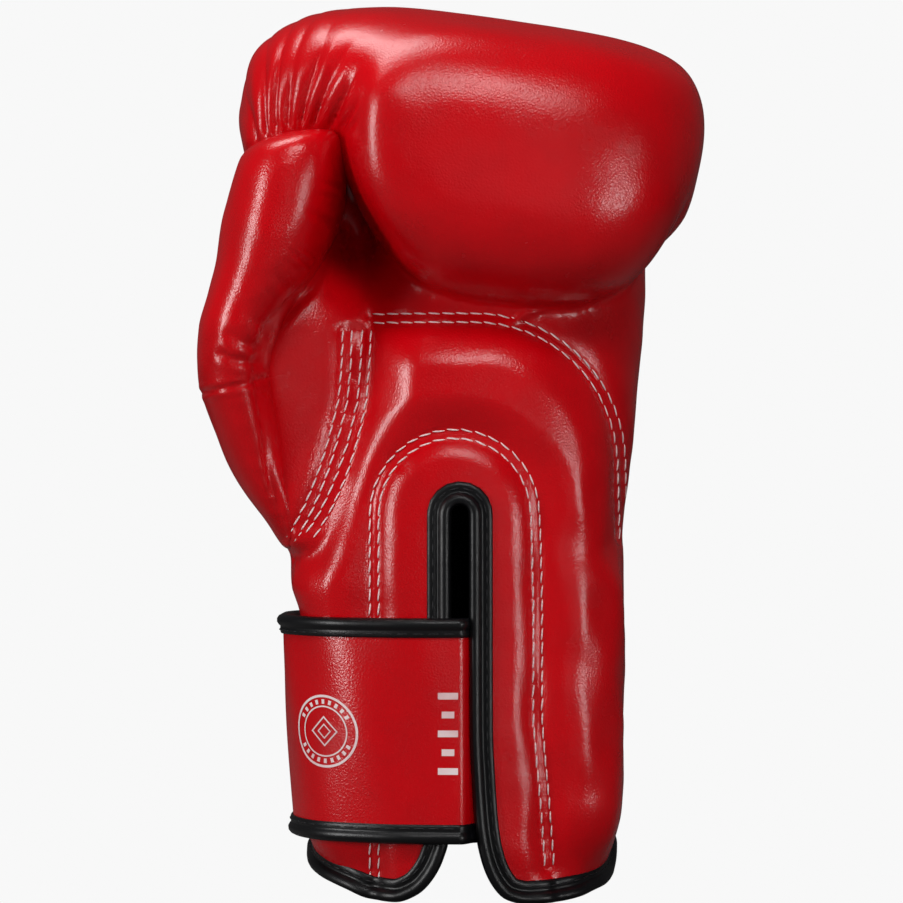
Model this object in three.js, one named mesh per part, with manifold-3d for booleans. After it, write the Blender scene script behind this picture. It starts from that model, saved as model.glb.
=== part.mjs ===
// A left-hand boxing glove that stands on the hem of its cuff, palm towards -Y, thumb towards -X.
// Millimetres, +Z up. The origin is under the middle of the glove, at the height of the hem.
//
// The glove is built in layers. Smooth outer bodies (hand, fist, thumb) and smooth hollows are made
// first; leather, foam and lining are the spaces between them, and panels are cut from the leather
// along the seams. The wrist strap is made of three stiff lengths that fold on each other.

import * as THREE from 'three';
import { mergeVertices } from 'three/addons/utils/BufferGeometryUtils.js';
import Module from 'manifold-3d';

const { clamp, lerp } = THREE.MathUtils;

// ---- Driving dimensions ----

const gap = 0.3; // between any two neighbouring pieces

const gloveHeight = 300; // hem to the top of the knuckles
const fistWidth = 159;
const fistDepth = 130;
const fistHeight = 101; // underside of the finger roll to the top
const fistCentreX = 7;
const fistCentreY = -3;
const thumbEndRise = 30; // how far the fist's middle rises towards each end
const littleEndRise = 8;
const thumbEndTaper = 22; // and how much it closes in from above and below
const littleEndTaper = 14;

const cuffWidth = 109;
const cuffDepth = 84;
const cuffCentreX = 4.5;
const cuffHeight = 95; // the straight length that the strap goes round
const cuffWall = 15; // leather, foam and lining together
const palmWall = 25;
const backWall = 29;
const handSideWall = 13;

const leather = 1.6;
const lining = 1.2;
const outerFoam = 18; // the firm layer over the knuckles
const pocketLeft = 40; // the fingers' pocket in the fist: reach from the fist's middle
const pocketRight = 44;
const pocketFront = 43;
const pocketBack = 8;
const pocketFloor = 24; // above the underside of the finger roll
const pocketRoof = 34; // below the top of the glove

const slitX = 2.85; // middle of the slit
const slitWidth = 7.1;
const slitHeight = 137;
const slitCorner = 17; // radius of the cuff's corners beside the slit
const facingHalfWidth = 27; // the inner U-shaped seam round the slit
const facingMiddleX = 1;
const facingSeamTop = 156;

const bindingWidth = 6.5;
const bindingThickness = 1.5;

const palmSeamTop = 195;
const palmSeamSide = 144; // height at which the palm seam reaches the side
const palmSeamRadius = 50; // how far in from the side the seam starts to bend
const gussetX = 45;
const seamStripWidth = 11;
const threadThickness = 0.8;
const threadWidth = 1;
const doubleRow = 3; // between the two rows of a seam

const thumbWidth = 47;
const thumbDepth = 62;
const thumbRoot = 113;
const thumbTip = 256;
const thumbCentreY = -22;
const thumbLean = 0.3; // the thumb's section slants towards the back of the hand
const thumbBore = 26;

const gripBarDiameter = 12;
const gripBarLength = 56;
const gripBarAside = 5.5; // from the fist's middle: across, forward and above its underside
const gripBarForward = 16.2;
const gripBarRise = 12;
const lockTabThickness = 1.5;

const strapWidth = 74;
const strapBottom = 20;
const strapBinding = 6.5;
const strapLeather = 1.4;
const strapBacking = 1;
const tapeThickness = 1;
const strapRootX = 6; // where the strap is sewn in beside the slit
const strapFoldX = -28; // the two folds, one on the palm side and one on the back
const strapTailX = 38; // end of the tail, on the back
const foldGap = 0.8;

// ---- Sizes that follow ----

const fistBottom = gloveHeight - fistHeight;
const cuffLeft = cuffCentreX - cuffWidth / 2;
const cuffRight = cuffCentreX + cuffWidth / 2;
const edgeInset = bindingThickness + gap; // how far the walls stay back from a bound edge
const foamStart = leather + gap;
const foamEnd = lining + gap;
const handTop = fistBottom + 36; // the hand's body ends inside the fist
const thumbMiddleX = cuffLeft - 12.5; // where the thumb is widest
const handAt = (share) => lerp(cuffHeight, fistBottom, share);

// Radial stack over the cuff: loop tape, hook tape, strap backing, strap leather.
const loopInner = gap;
const loopOuter = loopInner + tapeThickness;
const hookInner = loopOuter + gap;
const hookOuter = hookInner + tapeThickness;
const backingInner = hookOuter + gap;
const backingOuter = backingInner + strapBacking;
const strapInner = backingOuter + gap;
const strapOuter = strapInner + strapLeather;
const strapEdge = [edgeInset + 2 * gap, strapOuter + 0.4]; // the bindings' inner and outer faces

// ---- Solids ----

const kit = await Module();
kit.setup();

function solid(geometry) {
  const bare = geometry.clone();
  bare.deleteAttribute('normal');
  bare.deleteAttribute('uv');
  const merged = mergeVertices(bare, 1e-4);
  return new kit.Manifold(new kit.Mesh({
    numProp: 3,
    vertProperties: new Float32Array(merged.attributes.position.array),
    triVerts: new Uint32Array(merged.index.array),
  }));
}

function cut(body, ...tools) {
  return tools.reduce((rest, tool) => rest.subtract(tool), body);
}

function join(first, ...others) {
  return others.reduce((whole, other) => whole.add(other), first);
}

function common(first, ...others) {
  return others.reduce((shared, other) => shared.intersect(other), first);
}

function box(from, to) {
  const size = to.map((high, axis) => high - from[axis]);
  const middle = to.map((high, axis) => (high + from[axis]) / 2);
  const geometry = new THREE.BoxGeometry(...size);
  geometry.translate(...middle);
  return solid(geometry);
}

// A smooth curve through [position, value] pairs, level beyond both ends.
function track(stations) {
  const positions = stations.map(([position]) => position);
  const values = stations.map(([, value]) => value);
  const curve = new THREE.CubicInterpolant(positions, values, 1);
  return (position) => curve.evaluate(clamp(position, positions[0], positions.at(-1)))[0];
}

const squash = (value, power) => Math.sign(value) * Math.abs(value) ** power;

// Stretches a unit sphere or cylinder along one axis. place(share) gives the position along the axis
// and how much of the outline is left there, for a share that runs from -1 to 1; section(position)
// gives the four sides of the superellipse. `lean` slants it: how far it moves across for its depth.
function loft(geometry, { place, section, squareness = 2.5, lean = 0, alongX = false }) {
  const vertices = geometry.attributes.position;
  const vertex = new THREE.Vector3();
  for (let index = 0; index < vertices.count; index += 1) {
    vertex.fromBufferAttribute(vertices, index);
    const [along, fullness] = place(vertex.y);
    const radius = Math.hypot(vertex.x, vertex.z) < 1e-6 ? 0 : fullness;
    const angle = Math.atan2(-vertex.z, vertex.x);
    const [left, right, front, back] = section(along);
    const inward = (back - front) / 2 * radius * squash(Math.sin(angle), 2 / squareness);
    const sideways = (right - left) / 2 * radius * squash(Math.cos(angle), 2 / squareness);
    const across = (left + right) / 2 + sideways + lean * inward;
    const deep = (front + back) / 2 + inward;
    const moved = alongX ? [along, across, deep] : [across, deep, along];
    vertices.setXYZ(index, ...moved);
  }
  return solid(geometry);
}

// A closed body between two positions, rounded at both ends.
function bulb({ low, high, bluntness, sides, rings, ...options }) {
  const place = (share) => [
    lerp(low, high, (share + 1) / 2),
    Math.max(0, 1 - Math.abs(share) ** bluntness) ** (1 / bluntness),
  ];
  return loft(new THREE.SphereGeometry(1, sides, rings), { ...options, place });
}

// A sleeve with a ring of points at each level, flat at both ends or domed over its last stretch.
function sleeve({ levels, dome = 0, sides, ...options }) {
  const top = levels.at(-1);
  const place = (share) => {
    const level = levels[Math.round((share + 1) / 2 * (levels.length - 1))];
    const intoDome = dome > 0 ? clamp((level - top + dome) / dome, 0, 0.98) : 0;
    return [level, Math.sqrt(1 - intoDome ** 2)];
  };
  return loft(new THREE.CylinderGeometry(1, 1, 2, sides, levels.length - 1), { ...options, place });
}

// Extrudes an outline, drawn in X and Z, from `from` forward to `to` (towards -Y).
function frontPrism(outline, from = 0, to = -120) {
  const options = { depth: from - to, bevelEnabled: false, curveSegments: 6 };
  const geometry = new THREE.ExtrudeGeometry(outline, options);
  geometry.rotateX(Math.PI / 2);
  geometry.translate(0, from, 0);
  return solid(geometry);
}

// A path moved sideways: positive distances go to the left of its direction.
function offsetPath(path, distance) {
  return path.map((place, index) => {
    const before = path[Math.max(index - 1, 0)];
    const after = path[Math.min(index + 1, path.length - 1)];
    const along = new THREE.Vector2().subVectors(after, before).normalize();
    return new THREE.Vector2(place.x - along.y * distance, place.y + along.x * distance);
  });
}

// A band that follows a path, with its two edges at these distances to the left and right.
function bandOutline(path, left, right = left) {
  return new THREE.Shape([...offsetPath(path, left), ...offsetPath(path, -right).reverse()]);
}

// ---- Outer bodies ----
// Each takes an inset: positive moves the surface inwards.

// Height, thumb side, little-finger side, palm and back of the cuff and hand.
const handSections = [
  [cuffHeight, cuffLeft, cuffRight, -cuffDepth / 2, cuffDepth / 2],
  [handAt(0.3), cuffLeft - 3, cuffRight + 1, -cuffDepth / 2 + 1, cuffDepth / 2 + 7],
  [handAt(0.65), cuffLeft + 3, cuffRight + 4, -cuffDepth / 2 + 3, cuffDepth / 2 + 15],
  [fistBottom, cuffLeft + 9, cuffRight + 7, -cuffDepth / 2 + 8, cuffDepth / 2 + 19],
  [handTop, cuffLeft + 19, cuffRight + 4, -cuffDepth / 2 + 17, cuffDepth / 2 + 14],
];

function sectionSides(sections) {
  const sides = [1, 2, 3, 4].map((column) => track(sections.map((row) => [row[0], row[column]])));
  return (height) => sides.map((side) => side(height));
}

function insetSection(section, inset) {
  return (position) => {
    const [left, right, front, back] = section(position);
    return [left + inset, right - inset, front + inset, back - inset];
  };
}

const handSection = sectionSides(handSections);
const handLevels = [cuffHeight, handAt(0.2), handAt(0.45), handAt(0.7), fistBottom, handTop];

function hand(inset) {
  return sleeve({ levels: [-5, ...handLevels], section: insetSection(handSection, inset), sides: 24 });
}

// The fist lies along X. Its ends close in and rise towards the top.
function fistSection(position) {
  const share = (position - fistCentreX) / (fistWidth / 2);
  const rise = (share < 0 ? thumbEndRise : littleEndRise) * share ** 2;
  const taper = (share < 0 ? thumbEndTaper : littleEndTaper) * share ** 2;
  const middle = fistBottom + fistHeight / 2 + rise;
  const half = fistHeight / 2 - taper;
  return [fistCentreY - fistDepth / 2, fistCentreY + fistDepth / 2, middle - half, middle + half];
}

function fist(inset) {
  const low = fistCentreX - fistWidth / 2 + inset;
  const high = fistCentreX + fistWidth / 2 - inset;
  const section = insetSection(fistSection, inset);
  return bulb({ low, high, section, bluntness: 3, sides: 18, rings: 11, squareness: 2.4, alongX: true });
}

const thumbX = track([
  [thumbRoot, cuffLeft - 3],
  [lerp(thumbRoot, thumbTip, 0.26), cuffLeft - 9.5],
  [lerp(thumbRoot, thumbTip, 0.5), thumbMiddleX],
  [lerp(thumbRoot, thumbTip, 0.71), cuffLeft - 11.5],
  [thumbTip, cuffLeft - 1],
]);
const thumbFullness = track([
  [thumbRoot, 0.42],
  [lerp(thumbRoot, thumbTip, 0.26), 0.77],
  [lerp(thumbRoot, thumbTip, 0.5), 1],
  [lerp(thumbRoot, thumbTip, 0.71), 0.86],
  [thumbTip, 1.1],
]);

// `forward` stretches the thumb towards -Y.
function thumb(inset, forward = 0) {
  const section = (height) => {
    const x = thumbX(height);
    const halfWidth = thumbFullness(height) * thumbWidth / 2;
    const halfDepth = thumbFullness(height) * thumbDepth / 2;
    return [x - halfWidth, x + halfWidth, thumbCentreY - halfDepth - forward, thumbCentreY + halfDepth];
  };
  const low = thumbRoot + inset;
  const high = thumbTip - inset;
  const shape = { section: insetSection(section, inset), squareness: 2.2, lean: thumbLean };
  return bulb({ low, high, bluntness: 2.5, sides: 16, rings: 9, ...shape });
}

// What the fist leaves free for the thumb, its lock tab and the way out in front of it.
function thumbNotch() {
  const clearance = 2 * gap + lockTabThickness;
  return join(thumb(-clearance), thumb(-clearance, 40));
}

// ---- Hollows ----
// Each takes a growth: positive moves the surface outwards.

function handHollowSection(height) {
  const [left, right, front, back] = handSection(height);
  const palmShare = clamp((height - cuffHeight) / (fistBottom - cuffHeight), 0, 1);
  const wall = (atHand) => lerp(cuffWall, atHand, palmShare);
  return [
    left + wall(handSideWall),
    right - wall(handSideWall + 4),
    front + wall(palmWall),
    back - wall(backWall),
  ];
}

function handHollow(growth) {
  const top = handTop + 22 + growth;
  const levels = [-10, cuffHeight, handAt(0.45), fistBottom, handTop, top - 6, top];
  return sleeve({ levels, dome: 20, section: insetSection(handHollowSection, -growth), sides: 18 });
}

// The fingers curl forward and down into a pocket behind the finger roll.
function fingerPocket(growth) {
  const low = fistBottom + pocketFloor - growth;
  const high = gloveHeight - pocketRoof + growth;
  const sides = [
    fistCentreX - pocketLeft,
    fistCentreX + pocketRight,
    fistCentreY - pocketFront,
    fistCentreY + pocketBack,
  ];
  const section = insetSection(() => sides, -growth);
  return bulb({ low, high, section, bluntness: 2.4, sides: 16, rings: 6 });
}

function handSpace(growth) {
  return join(handHollow(growth), fingerPocket(growth));
}

function thumbSpace(growth) {
  const low = handAt(0.45);
  const bend = lerp(low, thumbTip, 0.4);
  const high = thumbTip - 17 + growth;
  const x = track([
    [low, handSection(low)[0] + handSideWall + thumbBore / 2],
    [bend, thumbX(bend) + 6],
    [high, thumbX(high)],
  ]);
  const y = track([[low, 4], [bend, thumbCentreY + 15], [high, thumbCentreY]]);
  const section = (height) => [
    x(height) - thumbBore / 2,
    x(height) + thumbBore / 2,
    y(height) - thumbBore / 2,
    y(height) + thumbBore / 2,
  ];
  const levels = [low, bend, lerp(bend, high, 0.5), high - 8, high];
  return sleeve({ levels, dome: 12, section: insetSection(section, -growth), squareness: 2, sides: 12 });
}

// ---- Cuts ----

// The slit, with round corners where it meets the hem, grown by `growth` on every side.
function slitCut(growth) {
  const half = slitWidth / 2;
  const corner = slitCorner - growth;
  const outline = new THREE.Shape();
  outline.moveTo(slitX - half - slitCorner, -20);
  outline.absarc(slitX - half - slitCorner, slitCorner, corner, -Math.PI / 2, 0, false);
  outline.absarc(slitX, slitHeight - half, half + growth, Math.PI, 0, true);
  outline.absarc(slitX + half + slitCorner, slitCorner, corner, Math.PI, 1.5 * Math.PI, false);
  outline.lineTo(slitX + half + slitCorner, -20);
  return frontPrism(outline);
}

const far = 200;
const frontHalf = box([-far, -far, 0], [far, -gap / 2, 2 * far]);
const backHalf = box([-far, gap / 2, 0], [far, far, 2 * far]);
const aboveHem = box([-far, -far, edgeInset], [far, far, 2 * far]);

const between = (low, high) => box([-far, -far, low], [far, far, high]);

// ---- Seam paths on the palm side, in X and Z ----

const point = (x, z) => new THREE.Vector2(x, z);
const palmSideX = cuffRight;
const stripTopX = thumbMiddleX + (thumbWidth + seamStripWidth) / 2 + 1; // just clear of the thumb
const stripFootX = cuffLeft - 3;

const palmSeam = [
  point(stripTopX, palmSeamTop),
  ...new THREE.EllipseCurve(
    palmSideX - palmSeamRadius,
    palmSeamSide,
    palmSeamRadius,
    palmSeamTop - palmSeamSide,
    Math.PI / 2,
    0,
    true,
  ).getPoints(8),
];

const stripPath = new THREE.QuadraticBezierCurve(
  point(stripTopX, palmSeamTop - 3),
  point(stripTopX - 0.5, handAt(0.53)),
  point(stripFootX, handAt(0.2)),
).getPoints(6);

function facingPath(inset, foot = -10, leftFoot = foot) {
  const radius = facingHalfWidth - inset;
  const archBase = facingSeamTop - facingHalfWidth;
  const right = facingMiddleX + radius;
  const half = new THREE.EllipseCurve(facingMiddleX, archBase, radius, radius, Math.PI, 0, true);
  const rightLeg = [point(right, strapBottom + 10), point(right + 4, foot)];
  return [point(facingMiddleX - radius, leftFoot), ...half.getPoints(10), ...rightLeg];
}

// ---- Shared bodies ----

const handOuter = hand(0);
const handInner = hand(leather);
const handGrown = hand(-gap);
const fistOuter = fist(0);
const fistInner = fist(leather);
const fistGrown = fist(-gap);
const thumbGrown = thumb(-gap);
const notch = thumbNotch();
const slitEdge = slitCut(edgeInset);
const hollows = join(handSpace(foamEnd), thumbSpace(foamEnd));

// ---- Leather ----

function coverLeather() {
  const skin = cut(join(handOuter, fistOuter), handInner, fistInner, notch, hollows);
  const endSeamX = stripTopX - 5;
  const endSeamZ = thumbTip - 10;
  const endPanel = box([-far, -far, endSeamZ], [endSeamX, far, 2 * far]);
  const endPanelGrown = box([-far, -far, endSeamZ - gap], [endSeamX + gap, far, 2 * far]);
  const backRegion = common(backHalf, between(cuffHeight + gap, 2 * far));
  return {
    back_cover: cut(common(skin, join(backRegion, fistOuter)), endPanelGrown),
    fist_end_panel: common(skin, fistOuter, endPanel),
  };
}

function cuffBackCover() {
  const skin = common(cut(handOuter, handInner), backHalf, aboveHem);
  return { cuff_back_cover: common(skin, between(0, cuffHeight)) };
}

function palmLeather() {
  const front = common(cut(handOuter, handInner), frontHalf, aboveHem);
  const skin = cut(front, fistGrown, thumbGrown, slitEdge, hollows);
  const bend = palmSeam.slice(1);
  const seam = (distance) => bend.map(({ x, y }, index) => {
    const share = index / (bend.length - 1);
    return point(x + distance * share, y + distance * (1 - share));
  });
  const beyond = palmSideX + 40;
  const above = new THREE.Shape([
    point(-far, palmSeamTop + gap),
    ...seam(gap),
    point(beyond, palmSeamSide),
    point(beyond, gloveHeight),
    point(-far, gloveHeight),
  ]);
  const below = new THREE.Shape([
    point(-far, -10),
    point(-far, palmSeamTop),
    ...seam(0),
    point(beyond, palmSeamSide - gap),
    point(beyond, -10),
  ]);
  const upper = common(skin, frontPrism(above));
  const lower = common(skin, frontPrism(below));
  const gusset = box([gussetX, -far, 0], [far, far, 2 * far]);
  const gussetGrown = box([gussetX - gap, -far, 0], [far, far, 2 * far]);
  const half = seamStripWidth / 2;
  const strip = frontPrism(bandOutline(stripPath, half));
  const stripEdge = offsetPath(stripPath, half + gap);
  const thumbSide = frontPrism(new THREE.Shape([
    point(stripEdge[0].x, palmSeamTop + gap),
    ...stripEdge,
    point(-far, handAt(0.2)),
    point(-far, palmSeamTop + gap),
  ]));
  const facing = frontPrism(new THREE.Shape(facingPath(0)));
  const facingGrown = frontPrism(new THREE.Shape(facingPath(-gap)));
  return {
    palm_upper_panel: cut(upper, gussetGrown),
    side_gusset: common(upper, gusset),
    thumb_seam_strip: common(lower, strip),
    palm_pad_cover: cut(lower, thumbSide, facingGrown),
    slit_facing: common(lower, facing),
  };
}

function thumbLeather() {
  const skin = cut(thumb(0), thumb(leather), handGrown, thumbSpace(foamEnd));
  const crease = new THREE.SplineCurve([
    point(cuffLeft - 6, thumbRoot - 10),
    point(cuffLeft - 12, lerp(thumbRoot, thumbTip, 0.3)),
    point(cuffLeft - 14, lerp(thumbRoot, thumbTip, 0.48)),
    point(cuffLeft + 3, lerp(thumbRoot, thumbTip, 0.66)),
    point(cuffLeft + 40, lerp(thumbRoot, thumbTip, 0.7)),
  ]).getPoints(8);
  const region = (growth) => frontPrism(new THREE.Shape([
    ...crease.map(({ x, y }) => point(x - growth, y + growth)),
    point(cuffLeft + 40, thumbRoot - 10),
  ]), thumbCentreY + 17 + growth);
  return {
    thumb_outer_panel: cut(skin, region(gap)),
    thumb_inner_panel: common(skin, region(0)),
  };
}

// A slip of leather between the thumb's tip and the fist, sewn to both.
function thumbLockTab() {
  const slip = cut(thumb(-gap - lockTabThickness), thumbGrown);
  const reach = box(
    [cuffLeft - 4, thumbCentreY - 6, thumbTip - 12],
    [cuffLeft + 9, thumbCentreY + 12, thumbTip + 10],
  );
  return { thumb_lock_tab: cut(common(slip, reach), handGrown) };
}

// One strip folded over the whole free edge: round the hem and up both sides of the slit.
function edgeBinding() {
  const wall = common(cut(hand(-edgeInset), handHollow(-edgeInset)), between(0, 2 * far));
  const walled = common(cut(handGrown, handHollow(-gap)), between(bindingThickness, 2 * far));
  const core = cut(walled, slitCut(bindingThickness));
  const reach = join(slitCut(bindingWidth), between(-1, bindingWidth));
  return { edge_binding: cut(common(wall, reach), core, slitCut(0)) };
}

// ---- Foam ----

function gripBar(growth) {
  const geometry = new THREE.CylinderGeometry(
    gripBarDiameter / 2 + growth,
    gripBarDiameter / 2 + growth,
    gripBarLength + 2 * growth,
    12,
  );
  geometry.rotateZ(Math.PI / 2);
  geometry.translate(fistCentreX + gripBarAside, fistCentreY - gripBarForward, fistBottom + gripBarRise);
  return solid(geometry);
}

function fistFoam() {
  const layerStart = foamStart + outerFoam;
  const space = cut(fist(foamStart), hollows, notch, gripBar(gap));
  return {
    knuckle_foam_outer: cut(space, fist(layerStart)),
    knuckle_foam_inner: common(space, fist(layerStart + gap)),
  };
}

function handFoam() {
  const space = cut(common(hand(foamStart), aboveHem), hollows, fistInner, gripBar(gap), slitEdge);
  return {
    palm_pad_foam: common(space, frontHalf),
    back_hand_foam: common(space, backHalf, between(cuffHeight + gap, 2 * far)),
    cuff_back_foam: common(space, backHalf, between(0, cuffHeight)),
  };
}

function thumbFoam() {
  return { thumb_foam: cut(thumb(foamStart), handInner, hollows) };
}

// ---- Lining ----

function linings() {
  const handLining = cut(common(handSpace(lining), aboveHem), handSpace(0), thumbSpace(foamEnd), slitEdge);
  const thumbLining = cut(thumbSpace(lining), thumbSpace(0), handSpace(foamEnd));
  return { hand_lining: handLining, thumb_lining: thumbLining };
}

// ---- Seam threads: each double row is one thread that turns back at its end ----

function doubleRowThread(path, middle = 0) {
  const outerReach = (doubleRow + threadWidth) / 2;
  const innerReach = (doubleRow - threadWidth) / 2;
  const turn = path[0].clone().lerp(path[1], threadWidth / path[0].distanceTo(path[1]));
  const around = frontPrism(bandOutline(path, outerReach + middle, outerReach - middle));
  const inside = frontPrism(bandOutline([turn, ...path.slice(1)], innerReach + middle, innerReach - middle));
  const layer = cut(hand(-gap - threadThickness), handGrown);
  return cut(common(layer, frontHalf, around), inside, fist(-2), thumb(-2));
}

function seamThreads() {
  const offCentre = (seamStripWidth - doubleRow) / 2 - gap;
  const strip = stripPath.slice(1, 5);
  const seam = [point(stripTopX + seamStripWidth / 2 + 1, palmSeamTop), ...palmSeam.slice(1)];
  const foot = bindingWidth + 2;
  return {
    palm_seam_thread: doubleRowThread(seam, -doubleRow / 2 - gap),
    thumb_strip_thread_inner: doubleRowThread(strip, offCentre),
    thumb_strip_thread_outer: doubleRowThread(strip, -offCentre),
    slit_facing_thread: doubleRowThread(facingPath(doubleRow / 2 + gap, foot, strapBottom + strapWidth + 3)),
  };
}

// ---- Wrist strap ----

const cuffSquareness = 2.5;

// Angle on the cuff's outline at a given X, on the palm side or, going round by the thumb, the back.
function palmAngle(x) {
  return -Math.acos(squash((x - cuffCentreX) / (cuffWidth / 2), cuffSquareness / 2));
}

function backAngle(x) {
  return -2 * Math.PI - palmAngle(x);
}

function cuffPoint(angle, offset) {
  return point(
    cuffCentreX + (cuffWidth / 2 + offset) * squash(Math.cos(angle), 2 / cuffSquareness),
    (cuffDepth / 2 + offset) * squash(Math.sin(angle), 2 / cuffSquareness),
  );
}

// A length of strap between two angles, two offsets from the cuff and two heights.
function strapLength([from, to], [inner, outer], [low, high]) {
  const steps = 8;
  const angles = Array.from({ length: steps + 1 }, (_, step) => lerp(from, to, step / steps));
  const arc = (offset) => angles.map((angle) => cuffPoint(angle, offset));
  const outline = new THREE.Shape([...arc(inner), ...arc(outer).reverse()]);
  const geometry = new THREE.ExtrudeGeometry(outline, { depth: high - low, bevelEnabled: false });
  geometry.translate(0, 0, low);
  return solid(geometry);
}

const strapTop = strapBottom + strapWidth;
const strapLengths = {
  strap_front: [palmAngle(strapRootX), palmAngle(strapFoldX + foldGap)],
  strap_side: [palmAngle(strapFoldX), backAngle(strapFoldX)],
  strap_tail: [backAngle(strapFoldX + foldGap), backAngle(strapTailX)],
};

function strapPieces() {
  const pieces = {};
  const face = [strapBottom + strapBinding + gap, strapTop - strapBinding - gap];
  const topEdge = [strapTop - strapBinding, strapTop];
  const bottomEdge = [strapBottom, strapBottom + strapBinding];
  for (const [name, ends] of Object.entries(strapLengths)) {
    pieces[`${name}_leather`] = strapLength(ends, [strapInner, strapOuter], face);
    pieces[`${name}_backing`] = strapLength(ends, [backingInner, backingOuter], face);
    pieces[`${name}_binding_top`] = strapLength(ends, strapEdge, topEdge);
    pieces[`${name}_binding_bottom`] = strapLength(ends, strapEdge, bottomEdge);
  }
  return pieces;
}

function fasteningTapes() {
  const margin = 4;
  const reach = [backAngle(strapFoldX + 4), backAngle(strapTailX - 4)];
  const face = [strapBottom + strapBinding + margin, strapTop - strapBinding - margin];
  return {
    loop_tape: strapLength(reach, [loopInner, loopOuter], face),
    hook_tape: strapLength([backAngle(4), reach[1]], [hookInner, hookOuter], face),
    strap_end_binding: strapLength(
      [backAngle(strapTailX + gap), backAngle(strapTailX + 4)],
      strapEdge,
      [strapBottom, strapTop],
    ),
  };
}

// ---- The glove ----

const finishes = {
  redLeather: { color: 0xb5050f, roughness: 0.38, metalness: 0 },
  darkRedLeather: { color: 0x9a040c, roughness: 0.45, metalness: 0 },
  blackBinding: { color: 0x101115, roughness: 0.5, metalness: 0 },
  foam: { color: 0xe6dcc0, roughness: 0.9, metalness: 0 },
  firmFoam: { color: 0x5a5a60, roughness: 0.9, metalness: 0 },
  lining: { color: 0x1c1c22, roughness: 0.8, metalness: 0 },
  thread: { color: 0xf0d8d8, roughness: 0.7, metalness: 0 },
  tape: { color: 0x17171a, roughness: 0.95, metalness: 0 },
};

const groups = [
  ['redLeather', { ...coverLeather(), ...cuffBackCover(), ...palmLeather() }],
  ['darkRedLeather', { ...thumbLeather(), ...thumbLockTab() }],
  ['blackBinding', edgeBinding()],
  ['firmFoam', fistFoam()],
  ['foam', { ...handFoam(), ...thumbFoam(), grip_bar: gripBar(0) }],
  ['lining', linings()],
  ['thread', seamThreads()],
  ['redLeather', strapPieces()],
  ['tape', fasteningTapes()],
];

function mesh(name, body, finish) {
  const { vertProperties, triVerts } = body.getMesh();
  const geometry = new THREE.BufferGeometry();
  geometry.setAttribute('position', new THREE.BufferAttribute(vertProperties, 3));
  geometry.setIndex(new THREE.BufferAttribute(triVerts, 1));
  geometry.computeVertexNormals();
  const named = new THREE.Mesh(geometry, new THREE.MeshStandardMaterial(finishes[finish]));
  named.name = name;
  return named;
}

const glove = new THREE.Group();
for (const [finish, bodies] of groups) {
  for (const [name, body] of Object.entries(bodies)) {
    const isBinding = name.includes('binding');
    glove.add(mesh(name, body, isBinding ? 'blackBinding' : finish));
  }
}

// The origin goes under the middle of the whole glove.
const middle = new THREE.Box3().setFromObject(glove).getCenter(new THREE.Vector3());
glove.position.set(-middle.x, -middle.y, 0);

export default glove;
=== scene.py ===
"""A padded boxing glove standing on its cuff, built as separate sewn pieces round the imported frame.

Forms are worked out in glove millimetres: x across the palm, y from palm to back, z up from the hem.
"""

import math
import random

import bpy
import numpy as np
from bpy.props import FloatProperty, FloatVectorProperty, IntProperty, PointerProperty
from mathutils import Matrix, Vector
from mathutils.bvhtree import BVHTree


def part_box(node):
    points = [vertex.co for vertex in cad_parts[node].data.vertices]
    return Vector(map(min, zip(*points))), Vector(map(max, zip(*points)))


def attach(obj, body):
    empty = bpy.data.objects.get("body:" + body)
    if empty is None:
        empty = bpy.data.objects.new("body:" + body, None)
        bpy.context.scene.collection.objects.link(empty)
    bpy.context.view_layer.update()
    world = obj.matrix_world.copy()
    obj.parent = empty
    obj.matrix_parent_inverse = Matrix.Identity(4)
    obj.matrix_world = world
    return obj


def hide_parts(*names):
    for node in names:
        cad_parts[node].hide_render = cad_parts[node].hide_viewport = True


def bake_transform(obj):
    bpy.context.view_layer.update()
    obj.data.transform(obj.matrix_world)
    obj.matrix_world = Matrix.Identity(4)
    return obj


bl_info = {
    "name": "Boxing Glove",
    "version": (1, 0, 0),
    "blender": (4, 5, 0),
    "location": "View3D > Sidebar > Glove",
    "description": "Builds a sewn, padded boxing glove with a hook-and-loop strap",
    "category": "Add Mesh",
}

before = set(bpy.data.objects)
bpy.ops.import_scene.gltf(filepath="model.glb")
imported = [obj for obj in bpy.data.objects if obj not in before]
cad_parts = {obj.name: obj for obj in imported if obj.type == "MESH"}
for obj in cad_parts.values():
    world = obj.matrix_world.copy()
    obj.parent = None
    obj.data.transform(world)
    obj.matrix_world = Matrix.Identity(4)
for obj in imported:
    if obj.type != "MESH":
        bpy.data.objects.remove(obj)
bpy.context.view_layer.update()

MM = 0.001
HEM_LOW, HEM_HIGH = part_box("edge_binding")
CUFF_X = 4.5  # the cuff's middle in glove millimetres
SHIFT = np.array([(HEM_LOW.x + HEM_HIGH.x) / 2 - CUFF_X * MM, (HEM_LOW.y + HEM_HIGH.y) / 2, 0.0])

EYE_DISTANCE = 1400.0
EYE_HEIGHT = 150.0
SEEN_WIDTH = 308.0  # how much the camera sees at the cuff's middle

SLIT_X = 2.8
SLIT_HALF = 3.6
SLIT_TOP = 133.0
BACK_HEM = 21.0  # the cuff is a little shorter on the back than its two palm flaps
STRAP_LOW, STRAP_HIGH = 20.5, 95.0
STRAP_OUT = 5.2  # how far the strap's face stands off the cuff
STRAP_THICK = 2.6
STRAP_MIDDLE = 57.0
PALM_SEAM_TOP = 194.6
SEAM_ROW_GAP = 3.0

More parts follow.
